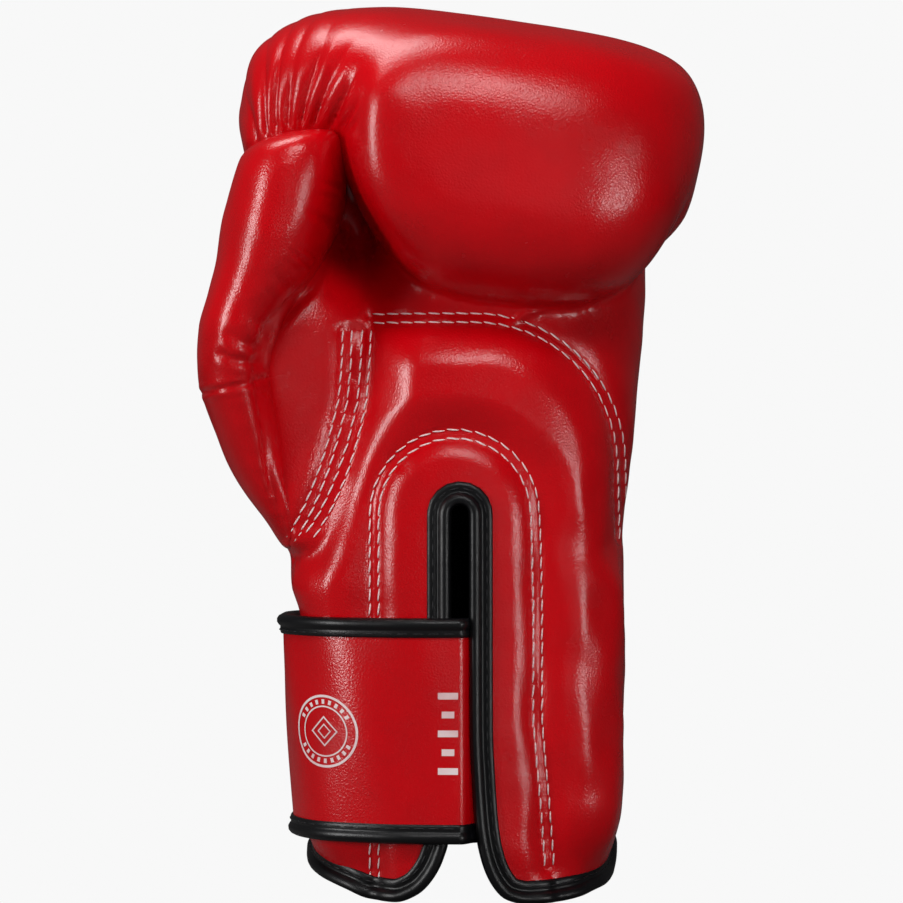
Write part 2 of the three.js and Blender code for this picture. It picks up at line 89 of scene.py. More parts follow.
# How far stuffing and sewing move the skin, in glove millimetres
PAD_SWELL = 5.2
FACING_SWELL = 1.2
SEAM_SINK = 1.3
ROW_SINK = 0.35
PUCKER = 0.25  # how much deeper a row lies at each needle hole
CREASE_SINK = 1.6
PLEAT_RISE = 2.3
HOLLOW_DEPTH = 20.0  # the dark hollow between thumb and finger roll
HOLLOW_PLACE = (-30.0, 222.0)
LARGE_LUMPS, SMALL_LUMPS, LIMB_LUMPS = 0.4, 0.09, 0.6


# ---------------------------------------------------------------- numbers and curves


def to_frame(points):
    """Glove millimetres to metres in the row's frame."""
    return np.asarray(points, float).reshape(-1, 3) * MM + SHIFT


def linear(hex_colour):
    """An sRGB hex colour as linear values."""
    shares = [int(hex_colour[i : i + 2], 16) / 255 for i in (1, 3, 5)]
    return tuple(s / 12.92 if s <= 0.04045 else ((s + 0.055) / 1.055) ** 2.4 for s in shares)


def smooth_track(stations):
    """A function through rows of (place, value, ...) that is smooth and never overshoots a row."""
    rows = np.array(stations, float)
    places, values = rows[:, 0], rows[:, 1:]
    gaps = np.diff(places)[:, None]
    rises = np.diff(values, axis=0) / gaps
    slopes = np.zeros_like(values)
    slopes[0], slopes[-1] = rises[0], rises[-1]
    same_way = rises[:-1] * rises[1:] > 0
    slopes[1:-1] = np.where(
        same_way, 2 * rises[:-1] * rises[1:] / np.where(same_way, rises[:-1] + rises[1:], 1), 0
    )

    def value_at(place):
        place = np.clip(np.asarray(place, float), places[0], places[-1])
        i = np.clip(np.searchsorted(places, place, side="right") - 1, 0, len(gaps) - 1)
        gap = gaps[i]
        t = (place - places[i])[..., None] / gap
        return (
            (1 + 2 * t) * (1 - t) ** 2 * values[i]
            + t * (1 - t) ** 2 * gap * slopes[i]
            + t * t * (3 - 2 * t) * values[i + 1]
            + t * t * (t - 1) * gap * slopes[i + 1]
        )

    return value_at


def smooth_step(value):
    """0 below 0, 1 above 1, and an easy curve between."""
    t = np.clip(value, 0, 1)
    return t * t * (3 - 2 * t)


def bell(value, width):
    """1 at 0, falling away to nothing over about two widths."""
    return np.exp(-((value / width) ** 2))


def arc(centre, radii, start, end, count=24):
    """Points round an ellipse from start to end, in degrees."""
    turns = np.radians(np.linspace(start, end, count))
    return [(centre[0] + radii[0] * math.cos(t), centre[1] + radii[1] * math.sin(t)) for t in turns]


def even_path(points, step):
    """The same line with points a step apart."""
    points = np.array(points, float)
    along = np.concatenate([[0], np.cumsum(np.linalg.norm(np.diff(points, axis=0), axis=1))])
    count = max(2, int(round(along[-1] / step)) + 1)
    places = np.linspace(0, along[-1], count)
    return np.stack([np.interp(places, along, points[:, k]) for k in range(points.shape[1])], 1)


def path_reach(points, path):
    """For points (x, z): distance to the path, signed to its left side, and the length along it."""
    path = np.array(path, float)
    nearest = np.full(len(points), 1e9)
    side = np.ones(len(points))
    place = np.zeros(len(points))
    travelled = 0.0
    for a, b in zip(path[:-1], path[1:]):
        run = b - a
        length = math.hypot(*run)
        offset = points - a
        t = np.clip(offset @ run / length**2, 0, 1)
        distance = np.linalg.norm(offset - t[:, None] * run, axis=1)
        closer = distance < nearest
        nearest = np.where(closer, distance, nearest)
        cross = run[0] * offset[:, 1] - run[1] * offset[:, 0]
        side = np.where(closer, np.where(cross >= 0, 1.0, -1.0), side)
        place = np.where(closer, travelled + t * length, place)
        travelled += length
    return nearest * side, place


def lumps(points, size, seed):
    """Soft, even unevenness from -1 to 1: a few slanted waves about `size` long."""
    draw = np.random.default_rng(seed)
    total = np.zeros(len(points))
    for _ in range(10):
        direction = draw.normal(size=3)
        direction /= np.linalg.norm(direction)
        wave = size * draw.uniform(0.7, 1.6)
        total += np.sin(points @ direction * (2 * math.pi / wave) + draw.uniform(0, 2 * math.pi))
    return total / 4.5


# ---------------------------------------------------------------- seam lines, seen from the palm


PALM_SEAM = [(-26.7, PALM_SEAM_TOP)] + arc((7.9, 144), (49.5, 50.6), 90, 0) + [(58.5, 120)]
FACING_SEAM = (
    [(-25.7, 6), (-25.7, 112)]
    + arc((1, 129.2), (26.7, 26.7), 180, 0, 30)
    + [(28.1, 120.4), (28.6, 99.6), (28.6, 61), (29.6, 48.3), (31.1, 32.5), (32.6, 12)]
)
STRIP_INNER = [
    (-36.5, 191), (-36.7, 180), (-37.8, 167), (-40.8, 155),
    (-43.8, 145), (-47.2, 136), (-51, 128), (-55, 121),
]
STRIP_OUTER = [
    (-27, 191), (-27.4, 180), (-28.4, 167), (-31, 155),
    (-34, 145), (-37.5, 136), (-41.5, 128), (-46, 121),
]
STRIP_FOOT, STRIP_TOP = 119, 191
THUMB_CREASE = [
    (-37, 254), (-35.5, 243), (-36, 233), (-38.5, 223), (-42.5, 214), (-47, 205), (-54, 198),
    (-60, 191), (-63, 184), (-64, 177), (-62.5, 166), (-61, 156), (-60, 143), (-58, 132), (-56, 121),
]
THUMB_BENDS = (
    ([(-90, 169), (-82, 169.8), (-65, 172.8), (-62, 174)], 0.55, 0.8),
    ([(-76, 182), (-71, 180.2), (-64, 179.6)], 0.5, 1.3),
    ([(-73, 188.5), (-68, 185.6), (-64, 184)], 0.35, 1.3),
)
PALM_FOLDS = (
    ([(18, 192), (25, 196), (34, 200)], 1.3, 1.4),
    ([(-23, 150), (-18, 147), (-14, 143)], -0.35, 1.8),
)
PLEAT_FOOT = (-47.0, 222.0)
PLEAT_FAN = 1.2  # the fan's spread in radians


# ---------------------------------------------------------------- meshes


def new_piece(name, points, faces, smooth=True):
    """A mesh object from glove-millimetre points."""
    mesh = bpy.data.meshes.new(name)
    mesh.from_pydata(to_frame(points).tolist(), [], [list(map(int, f)) for f in faces])
    mesh.validate()
    mesh.update()
    if smooth:
        mesh.polygons.foreach_set("use_smooth", [True] * len(mesh.polygons))
    piece = bpy.data.objects.new(name, mesh)
    bpy.context.scene.collection.objects.link(piece)
    return piece


def grid_faces(rows, columns, closed_columns=True, closed_rows=False):
    """Quads over a grid of points kept row by row."""
    faces = []
    for r in range(rows if closed_rows else rows - 1):
        for c in range(columns if closed_columns else columns - 1):
            a, b = r * columns, ((r + 1) % rows) * columns
            n = (c + 1) % columns
            faces.append((a + c, a + n, b + n, b + c))
    return faces


def form(stations, square=2.4, domes=(0, 0), along="z", sides=72, ring_step=3.0):
    """A closed rounded form through stations of (place, low a, high a, low b, high b).

    a and b are x and y, or y and z when the form runs along x. A dome rounds an end off over its length.
    """
    low, high = stations[0][0], stations[-1][0]
    rings = max(24, int((high - low) / ring_step))
    share = (1 - np.cos(np.linspace(0, math.pi, rings))) / 2
    places = low + (high - low) * share
    sections = smooth_track(stations)(places)
    size = np.ones(rings)
    for dome, distance in ((domes[0], places - low), (domes[1], high - places)):
        if dome:
            inside = np.clip(1 - distance / dome, 0, 1)
            size *= np.sqrt(np.clip(1 - inside**2.2, 0.0004, 1))
    turn = np.linspace(0, 2 * math.pi, sides, endpoint=False)
    across = np.sign(np.cos(turn)) * np.abs(np.cos(turn)) ** (2 / square)
    upward = np.sign(np.sin(turn)) * np.abs(np.sin(turn)) ** (2 / square)
    a_middle, a_half = sections[:, :2].mean(1), (sections[:, 1] - sections[:, 0]) / 2
    b_middle, b_half = sections[:, 2:].mean(1), (sections[:, 3] - sections[:, 2]) / 2
    a = a_middle[:, None] + np.outer(a_half * size, across)
    b = b_middle[:, None] + np.outer(b_half * size, upward)
    place = np.repeat(places[:, None], sides, 1)
    layers = (place, a, b) if along == "x" else (a, b, place)
    points = np.stack(layers, -1).reshape(-1, 3)
    faces = grid_faces(rings, sides)
    faces.append(tuple(range(sides))[::-1])
    faces.append(tuple(range((rings - 1) * sides, rings * sides)))
    return points, faces


def evaluated(piece, *modifiers):
    """The piece's points in glove millimetres and its faces, after these modifiers."""
    for kind, values in modifiers:
        modifier = piece.modifiers.new(kind.title(), kind)
        for key, value in values.items():
            setattr(modifier, key, value)
    mesh = piece.evaluated_get(bpy.context.evaluated_depsgraph_get()).to_mesh()
    points = np.zeros(len(mesh.vertices) * 3, np.float32)
    mesh.vertices.foreach_get("co", points)
    starts = np.zeros(len(mesh.polygons), np.int32)
    totals = np.zeros(len(mesh.polygons), np.int32)
    corners = np.zeros(len(mesh.loops), np.int32)
    mesh.polygons.foreach_get("loop_start", starts)
    mesh.polygons.foreach_get("loop_total", totals)
    mesh.loops.foreach_get("vertex_index", corners)
    faces = [corners[s : s + t] for s, t in zip(starts, totals)]
    piece.to_mesh_clear()
    bpy.data.objects.remove(piece)
    return (points.reshape(-1, 3).astype(float) - SHIFT) / MM, faces


def eased(points, faces, rounds, hold=None):
    """Moves each point towards the middle of its neighbours, less where hold is near 1."""
    quads = np.array([f for f in faces if len(f) == 4])
    edges = np.concatenate([quads[:, [k, (k + 1) % 4]] for k in range(4)])
    count = np.bincount(edges[:, 0], minlength=len(points)) + np.bincount(edges[:, 1], minlength=len(points))
    freedom = 0.5 if hold is None else (0.5 * (1 - hold))[:, None]
    for _ in range(rounds):
        total = np.zeros_like(points)
        for axis in range(3):
            total[:, axis] = np.bincount(edges[:, 0], points[edges[:, 1], axis], len(points))
            total[:, axis] += np.bincount(edges[:, 1], points[edges[:, 0], axis], len(points))
        points = points + freedom * (total / np.maximum(count, 1)[:, None] - points)
    return points


def outward(points, faces):
    """A unit normal at each point of a quad mesh."""
    quads = np.array([f for f in faces if len(f) == 4])
    corners = points[quads]
    face_normal = np.cross(corners[:, 2] - corners[:, 0], corners[:, 3] - corners[:, 1])
    normals = np.zeros_like(points)
    for k in range(4):
        for axis in range(3):
            normals[:, axis] += np.bincount(quads[:, k], face_normal[:, axis], len(points))
    return normals / np.maximum(np.linalg.norm(normals, axis=1), 1e-9)[:, None]


# ---------------------------------------------------------------- the glove's padded forms


def hand_form():
    """Cuff, palm and back of the hand, up into the fist."""
    return form(
        [
            (-6, -41, 50, -40, 40), (4, -43, 50.5, -41, 41),
            (12, -45.5, 53.5, -41.5, 42), (22, -49.5, 57, -42, 42),
            (33, -50, 58.6, -42, 42), (60, -50, 59, -42, 42),
            (95, -51.5, 59, -42, 43), (106, -55, 59, -42.5, 45), (120, -53.5, 58.5, -42.5, 48.5),
            (135, -50, 60, -42, 52), (160, -47, 63, -39.5, 58), (185, -45, 65, -36.5, 61),
            (200, -44, 66.5, -30.5, 62), (214, -43, 67, -27, 62),
            (226, -43, 66, -22, 62), (272, -43, 66, -10, 61),
        ],
        square=2.5,
        domes=(0, 20),
    )


def fist_form():
    """Knuckles and the back of the fist, with the gathered end towards the thumb."""
    return form(
        [
            (-72.5, -14, 28, 244, 281), (-69, -24, 36, 240, 285),
            (-60, -37, 46, 236, 293), (-47, -45, 54, 244, 299),
            (-36, -51, 59, 247, 301), (-24, -57, 61, 240, 301.5),
            (-10, -62, 62, 222, 300.5), (16, -64, 62, 212, 297),
            (44, -62, 62, 210, 293), (61, -56, 60, 214, 289.6),
            (71, -47, 54, 220, 286.5), (80, -33, 42, 230, 282),
            (86.5, -18, 28, 244, 275),
        ],
        square=2.25,
        domes=(6, 7),
        along="x",
    )


def roll_form():
    """The finger roll at the front of the fist."""
    return form(
        [
            (-38, -55, 0, 236, 268), (-32, -60, 6, 231, 278),
            (-26, -65, 12, 223, 286), (-19, -67, 15, 214, 291),
            (-9, -67.5, 18, 206, 294), (1, -68, 18, 202, 294),
            (16, -68, 18, 200, 292), (29, -68, 18, 198.6, 290),
            (42, -67, 18, 199.2, 288), (52, -65, 18, 202, 286),
            (59, -62, 18, 206, 284), (66, -58, 16, 212.5, 282),
            (72, -52, 14, 221, 280), (78, -43, 12, 232, 278),
            (83, -34, 8, 242, 275), (87, -22, 2, 251, 269),
        ],
        square=2.75,
        domes=(12, 5),
        along="x",
    )


def thumb_form():
    """The padded thumb, from its root at the palm to its tip, which lies slanted against the fist."""
    points, faces = form(
        [
            (116, -57, -51, -27, -8), (123, -60, -50, -31, -2),
            (132, -67, -50, -35, 3), (143, -74.5, -53, -39, 7),
            (160, -81, -56, -44, 10), (177, -85.3, -60, -48, 11),
            (190, -85, -57, -51, 11), (204, -81.5, -48, -54, 10),
            (213, -79, -43, -56, 9), (225, -77.5, -37.5, -58, 8),
            (235, -75, -35, -58, 6), (245, -72.5, -34.5, -57, 4),
            (251, -70.5, -35, -55, 2), (256, -69, -38, -52, -4),
        ],
        square=2.2,
        domes=(4, 5),
    )
    points[:, 2] += 0.22 * (points[:, 0] + 57) * smooth_step((points[:, 2] - 225) / 28)
    return points, faces


def web_form():
    """The flat inner side of the thumb, running down across to the palm."""
    points, faces = form(
        [
            (114, -54, -38, -28, 10), (124, -60, -30, -32, 12),
            (140, -66, -24, -33, 14), (160, -70, -22, -31.5, 16),
            (180, -74, -22, -29, 16), (196, -72, -24, -27, 14),
            (210, -68, -28, -22, 12), (228, -62, -34, -10, 10),
        ],
        square=3.2,
        domes=(6, 10),
    )
    near = smooth_step((-points[:, 1] - 5) / 15)
    points[:, 1] -= near * 0.12 * (-46 - points[:, 0])
    return points, faces


UNDER_ROLL = (196, 236)  # the fold under the finger roll is kept crisp between these heights
CROWN_FOOT = 228  # above this the knuckles and the roll run smoothly into each other
CROWN_ROUNDS = 60
ROLL_END = (2, 20, 36)  # towards the thumb from this x, over this length, the crown starts this much higher


def one_skin(shells, rounds):
    """Joins overlapping forms into one even skin: points, faces and the name of each point's form."""
    points, faces, trees = [], [], []
    for form_points, form_faces in shells.values():
        start = sum(len(p) for p in points)
        points.append(form_points)
        faces += [tuple(start + i for i in f) for f in form_faces]
        trees.append(BVHTree.FromPolygons(form_points.tolist(), form_faces))
    rough = new_piece("rough_skin", np.concatenate(points), faces)
    detail = bpy.context.scene.glove.skin_detail
    points, faces = evaluated(rough, ("REMESH", {"mode": "VOXEL", "voxel_size": detail}))
    names = np.array(list(shells))
    distances = np.array([[tree.find_nearest(p.tolist())[3] for tree in trees] for p in points])
    nearest = names[distances.argmin(1)]
    hold = np.zeros(len(points))
    if len(trees) > 1:
        ordered = np.sort(distances, 1)
        under_roll = (points[:, 2] > UNDER_ROLL[0]) & (points[:, 2] < UNDER_ROLL[1])
        hold = 0.75 * bell(ordered[:, 1] - ordered[:, 0], 2.5) * under_roll
    points = eased(points, faces, rounds, hold)
    end_x, length, rise = ROLL_END
    start = CROWN_FOOT + rise * smooth_step((end_x - points[:, 0]) / length)
    crown = smooth_step((points[:, 2] - start) / 20) * smooth_step((points[:, 0] + 44) / 12)
    crown *= np.isin(nearest, ["fist", "roll"])
    if crown.any():
        points = eased(points, faces, CROWN_ROUNDS, 1 - crown)
    smooth = new_piece("smooth_skin", points, faces)
    points, faces = evaluated(smooth, ("SUBSURF", {"levels": 1}))
    distances = np.array([[tree.find_nearest(p.tolist())[3] for tree in trees] for p in points])
    return points, faces, names[distances.argmin(1)]


def padded_body():
    """The glove's body and its thumb, side by side in one list: points, faces and each point's form."""
    body = one_skin({"hand": hand_form(), "fist": fist_form(), "roll": roll_form(), "web": web_form()}, 10)
    thumb = one_skin({"thumb": thumb_form()}, 6)
    shift = len(body[0])
    faces = body[1] + [f + shift for f in thumb[1]]
    return np.concatenate([body[0], thumb[0]]), faces, np.concatenate([body[2], thumb[2]])


def pleats(points, label):
    """Gathers that fan out from the thumb's tip over the end of the fist."""
    count = max(1, bpy.context.scene.glove.pleats)
    x, y, z = points.T
    run, rise = x - PLEAT_FOOT[0], z - PLEAT_FOOT[1]
    reach = np.hypot(run, rise)
    turn = np.arctan2(rise, run) + 0.006 * (reach - 30)
    wander = 0.6 * np.sin(turn * 9.3 + 1.0) + 0.3 * np.sin(turn * 17 + reach * 0.09)
    wave = np.abs(np.sin(turn * math.pi * count / PLEAT_FAN + wander))
    fan = smooth_step((turn - 1.12) / 0.15) * smooth_step((2.45 - turn) / 0.2)
    short = 5 * np.sin(turn * 19.7) + 4 * np.sin(turn * 43)
    length = smooth_step((reach - 34) / 5) * smooth_step((84 - reach) / 16)
    length *= 0.25 + 0.75 * smooth_step((62 - reach + short) / 14)
    place = smooth_step((-28 - x) / 9) * np.isin(label, ["fist", "roll"]) * smooth_step((18 - y) / 22)
    return place * fan * length * PLEAT_RISE * (wave**0.7 - 0.75)


def thumb_folds(points, normals, label):
    """The thumb's long crease, the small gathers along it, and the bends across it."""
    x, y, z = points.T
    seen = points[:, [0, 2]]
    front = smooth_step((-normals[:, 1] + 0.2) / 0.4)
    thumb = (label == "thumb") * front
    crease, place = path_reach(seen, THUMB_CREASE)
    reach = np.abs(crease)
    pulled = np.isin(label, ["thumb", "web"]) * front * smooth_step((222 - z) / 15)
    push = -CREASE_SINK * bell(crease, 2.2) * pulled
    gather = np.abs(np.sin(place * math.pi / 5.2 + 1.1 * np.sin(place * 0.29) + 0.12 * reach))
    strength = 0.55 + 0.45 * np.sin(place * 0.43 + 1.0)
    upper = smooth_step((z - 196) / 12) * smooth_step((244 - z) / 10)
    lower = smooth_step((z - 172) / 5) * smooth_step((200 - z) / 8) * 0.8
    beside_crease = smooth_step((reach - 0.5) / 2) * smooth_step((13 - reach) / 10)
    push += thumb * (upper + lower) * strength * (gather - 0.6) * beside_crease
    for line, depth, width in THUMB_BENDS:
        distance, _ = path_reach(seen, line)
        push -= thumb * depth * bell(distance, width)
        push += thumb * depth * 0.45 * bell(np.abs(distance) - width * 2.2, width * 1.4)
    return push


def sculpted(points, faces, label):
    """Adds the pad, seams, pleats, creases and unevenness to the skin."""
    normals = outward(points, faces)
    seen = points[:, [0, 2]]
    x, y, z = points.T
    palm = smooth_step((-normals[:, 1] + 0.05) / 0.3) * np.isin(label, ["hand", "web"])
    push = np.zeros(len(points))

    seam, seam_place = path_reach(seen, PALM_SEAM)
    facing, facing_place = path_reach(seen, FACING_SEAM)
    strip_in, in_place = path_reach(seen, STRIP_INNER)
    strip_out, out_place = path_reach(seen, STRIP_OUTER)
    inside_facing = -facing  # positive inside the U
    below_seam = (z < PALM_SEAM_TOP + 2) & ((seam < 0) | (z < 120))
    from_strip = np.where(strip_out > 0, strip_out, -strip_out * smooth_step((122 - z) / 10))
    swell = smooth_step(np.abs(seam) / 18) * smooth_step(np.abs(facing) / 14) * smooth_step(from_strip / 18)
    in_pad = below_seam & (inside_facing < 0)
    facing_out = smooth_step((-normals[:, 1] - 0.1) / 0.6)
    push += palm * facing_out * PAD_SWELL * np.where(in_pad, swell, 0) * smooth_step((z - 4) / 30)
    push += palm * FACING_SWELL * np.where(inside_facing > 0, smooth_step(inside_facing / 9), 0)
    strip_fade = smooth_step((z - STRIP_FOOT) / 7) * smooth_step((STRIP_TOP + 4 - z) / 5)
    grooves = (
        (seam, seam_place, palm, smooth_step((z - 116) / 6) * smooth_step((x + 31) / 4)),
        (facing, facing_place, palm, smooth_step((z - 1) / 4)),
        (strip_in - SEAM_ROW_GAP / 2, in_place, palm, strip_fade),
        (strip_out + SEAM_ROW_GAP / 2, out_place, palm, strip_fade),
    )
    pitch = bpy.context.scene.glove.stitch_length / MM
    for distance, place, weight, where in grooves:
        rows = bell(np.abs(distance) - SEAM_ROW_GAP / 2, 0.7)
        pucker = 0.5 + 0.5 * np.cos(place * 2 * math.pi / pitch)
        push -= weight * where * (SEAM_SINK * bell(distance, 4.2) + (ROW_SINK + PUCKER * pucker) * rows)

    push += pleats(points, label) + thumb_folds(points, normals, label)
    for line, height, width in PALM_FOLDS:
        distance, place = path_reach(seen, line)
        ends = smooth_step(place / 4) * smooth_step((math.dist(line[0], line[-1]) + 1 - place) / 4)
        push += palm * height * bell(distance, width) * ends
    tight = np.where(np.isin(label, ["fist", "roll"]), 0.45, 1.0)  # the stuffed fist is the smoothest part
    push += tight * (LARGE_LUMPS * lumps(points, 34, 11) + SMALL_LUMPS * lumps(points, 13, 12))
    blotchy = palm * smooth_step((x - 20) / 10) * smooth_step((150 - z) / 20)
    push += blotchy * facing_out * LIMB_LUMPS * lumps(points * [1, 1, 0.8], 17, 13)
    made = points + normals * push[:, None]
    hollow = bell(np.hypot((x - HOLLOW_PLACE[0]) / 10, (z - HOLLOW_PLACE[1]) / 17), 1)
    made[:, 1] += HOLLOW_DEPTH * hollow * smooth_step((y + 58) / 14) * smooth_step((12 - y) / 10)
    return made


# ---------------------------------------------------------------- round the cuff


CUFF_HALF = (54.5, 42.0)
CUFF_SQUARE = 2.5


def cuff_outline():
    """The cuff's outline seen from above, from the palm's middle round by the little-finger side.

    Gives its points, its outward normals and the lengths along it.
    """
    turn = np.linspace(-math.pi / 2, 1.5 * math.pi, 1441)
    x = CUFF_X + CUFF_HALF[0] * np.sign(np.cos(turn)) * np.abs(np.cos(turn)) ** (2 / CUFF_SQUARE)
    y = CUFF_HALF[1] * np.sign(np.sin(turn)) * np.abs(np.sin(turn)) ** (2 / CUFF_SQUARE)
    line = even_path(np.stack([x, y], 1), 0.5)
    run = np.gradient(line, axis=0)
    run /= np.linalg.norm(run, axis=1)[:, None]
    length = np.linalg.norm(np.diff(line, axis=0), axis=1).cumsum()
    return line, np.stack([run[:, 1], -run[:, 0]], 1), np.concatenate([[0], length])


OUTLINE, OUTLINE_NORMAL, OUTLINE_LENGTH = cuff_outline()
ROUND = OUTLINE_LENGTH[-1]
SLIT_START = SLIT_X - CUFF_X  # the outline's zero is at the cuff's middle


def round_cuff(along):
    """The outline's point and outward normal at lengths from the slit, positive towards the little finger."""
    place = (np.asarray(along, float) + SLIT_START) % ROUND
    point = np.stack([np.interp(place, OUTLINE_LENGTH, OUTLINE[:, k]) for k in range(2)], -1)
    normal = np.stack([np.interp(place, OUTLINE_LENGTH, OUTLINE_NORMAL[:, k]) for k in range(2)], -1)
    return point, normal / np.linalg.norm(normal, axis=-1)[..., None]


def on_skin(along, height, out):
    """A point on the skin at this place round the cuff and this height, stood off by out."""
    point, normal = round_cuff(along)
    away = Vector((*normal, 0))
    start = Vector((*point, height)) + away * 25
    spot = skin()["tree"].ray_cast(start, -away, 50)[0]
    if spot is None:
        spot = Vector((*point, height))
    return spot + away * out


def unrolled(points):
    """Lengths round the cuff from the slit, for points in any direction out of the cuff's middle."""
    turn = np.arctan2(points[:, 1] / CUFF_HALF[1], (points[:, 0] - CUFF_X) / CUFF_HALF[0])
    table = np.unwrap(np.arctan2(OUTLINE[:, 1] / CUFF_HALF[1], (OUTLINE[:, 0] - CUFF_X) / CUFF_HALF[0]))
    turn = (turn - table[0]) % (2 * math.pi) + table[0]
    along = np.interp(turn, table, OUTLINE_LENGTH) - SLIT_START
    return np.where(along > ROUND / 2, along - ROUND, along)


def bound_edge():
    """The bound edge of hem and slit, unrolled into (length round the cuff, height).

    It starts at the middle of the back and runs along the thumb side's hem, up one side of the slit,
    over it, down its other side and back along the little finger's side.
    """
    leg = SLIT_TOP - SLIT_HALF
    left = smooth_track(
        [(0, -ROUND / 2, BACK_HEM), (1, -125, BACK_HEM), (2, -84, 12), (3, -55, 7.5), (4, -41, 4.6),
         (5, -31, 1.6), (6, -22, 1.2), (7, -14.5, 3.8), (8, -9, 9.5), (9, -6, 15.5), (10, -4.3, 22),
         (11, -3.6, 40), (12, -SLIT_HALF, leg)]
    )(np.linspace(0, 12, 150))
    right = smooth_track(
        [(0, SLIT_HALF, leg), (1, 3.7, 60), (2, 4.4, 42), (3, 5.8, 24), (4, 7.6, 15), (5, 11, 7),
         (6, 16, 2), (7, 23, 0.5), (8, 33, 0.8), (9, 50, 3), (10, 76, 6), (11, 118, BACK_HEM),
         (12, ROUND / 2, BACK_HEM)]
    )(np.linspace(0, 12, 150))
    over = arc((0, leg), (SLIT_HALF, SLIT_HALF), 180, 0, 15)[1:-1]
    return np.concatenate([left, over, right])


def strap_taper(points):
    """The cuff narrows a little towards the hem on the thumb side, and the strap with it."""
    points = np.array(points, float)
    share = (STRAP_HIGH - points[:, 2]) / (STRAP_HIGH - STRAP_LOW)
    points[:, 0] += (4.0 * share - 1.9) * smooth_step((-points[:, 0] - 5) / 40)
    return points


def strap_point(along, height, out):
    """A point on the strap's face; along is negative towards the thumb side."""
    point, normal = round_cuff(np.asarray(along, float))
    share = (np.asarray(height, float) - STRAP_LOW) / (STRAP_HIGH - STRAP_LOW)
    crown = 0.9 * np.clip(4 * share * (1 - share), 0, 1) ** 0.6
    along = np.asarray(along)
    wave = 0.45 * np.sin(along * 0.19 + 1.2) * np.sin(share * 5.2 + 0.6 + along * 0.06)
    tuck = -6.5 * smooth_step((along - 0.5) / 4.5)  # its root goes under the other flap
    place = point + normal * (STRAP_OUT + np.asarray(out) + crown + wave + tuck)[..., None]
    heights = np.broadcast_to(np.asarray(height, float)[..., None], place.shape[:-1] + (1,))
    return strap_taper(np.concatenate([place, heights], -1).reshape(-1, 3))


SKIN = {}


def skin():
    """The sewn skin, made once and kept for the pieces that are cut from it."""
    if not SKIN:
        points, faces, label = padded_body()
        points = sculpted(points, faces, label)
        SKIN.update(points=points, faces=faces, label=label, normals=outward(points, faces))
        SKIN["tree"] = BVHTree.FromPolygons(points.tolist(), [list(map(int, f)) for f in faces])
    return SKIN


# ---------------------------------------------------------------- materials


def node(tree, kind, settings=None, **inputs):
    """Adds a node. Settings are its properties; an input is a value, or the socket that feeds it."""
    made = tree.nodes.new(kind)
    for key, value in (settings or {}).items():
        setattr(made, key, value)
    for key, value in inputs.items():
        numbered = key[0] == "i" and key[1:].isdigit()
        socket = made.inputs[int(key[1:]) if numbered else key.replace("_", " ")]
        if isinstance(value, bpy.types.NodeSocket):
            tree.links.new(value, socket)
        else:
            socket.default_value = value
    return made


def blank_material(name):
    """A material with an empty node tree, and that tree."""
    made = bpy.data.materials.new(name)
    made.use_nodes = True
    made.node_tree.nodes.clear()
    return made, made.node_tree


def coated_leather(name, colour, dark, roughness, grain_mm, grain_depth_mm):
    """Synthetic leather: a polyurethane film embossed with a fine grain and calendered on cloth.

    It shows a deep even colour, soft broad highlights broken by tiny specks, and duller worn places.
    """
    made, tree = blank_material(name)
    place = node(tree, "ShaderNodeTexCoord").outputs["Object"]
    cells = {"feature": "DISTANCE_TO_EDGE"}
    grain = node(tree, "ShaderNodeTexVoronoi", cells, Vector=place, Scale=1000 / grain_mm)
    specks = node(tree, "ShaderNodeTexNoise", Vector=place, Scale=1400 / grain_mm, Detail=2.0)
    wear = node(tree, "ShaderNodeTexNoise", Vector=place, Scale=38.0, Detail=4.0, Roughness=0.6)
    tint = node(tree, "ShaderNodeValToRGB", Fac=wear.outputs["Fac"])
    tint.color_ramp.elements[0].position = 0.32
    tint.color_ramp.elements[0].color = (*dark, 1)
    tint.color_ramp.elements[1].position = 0.62
    tint.color_ramp.elements[1].color = (*colour, 1)
    dull = node(
        tree, "ShaderNodeMapRange", Value=wear.outputs["Fac"], From_Min=0.3, From_Max=0.7,
        To_Min=roughness + 0.05, To_Max=roughness - 0.03,
    )
    relief = node(
        tree, "ShaderNodeMath", {"operation": "MULTIPLY_ADD"},
        i0=specks.outputs["Fac"], i1=0.8, i2=grain.outputs["Distance"],
    )
    bump = node(tree, "ShaderNodeBump", Height=relief.outputs[0], Strength=0.5, Distance=grain_depth_mm * MM)
    shader = node(
        tree, "ShaderNodeBsdfPrincipled", Base_Color=tint.outputs["Color"], Roughness=dull.outputs["Result"],
        Normal=bump.outputs["Normal"], IOR=1.5,
    )
    node(tree, "ShaderNodeOutputMaterial", Surface=shader.outputs["BSDF"])
    return made


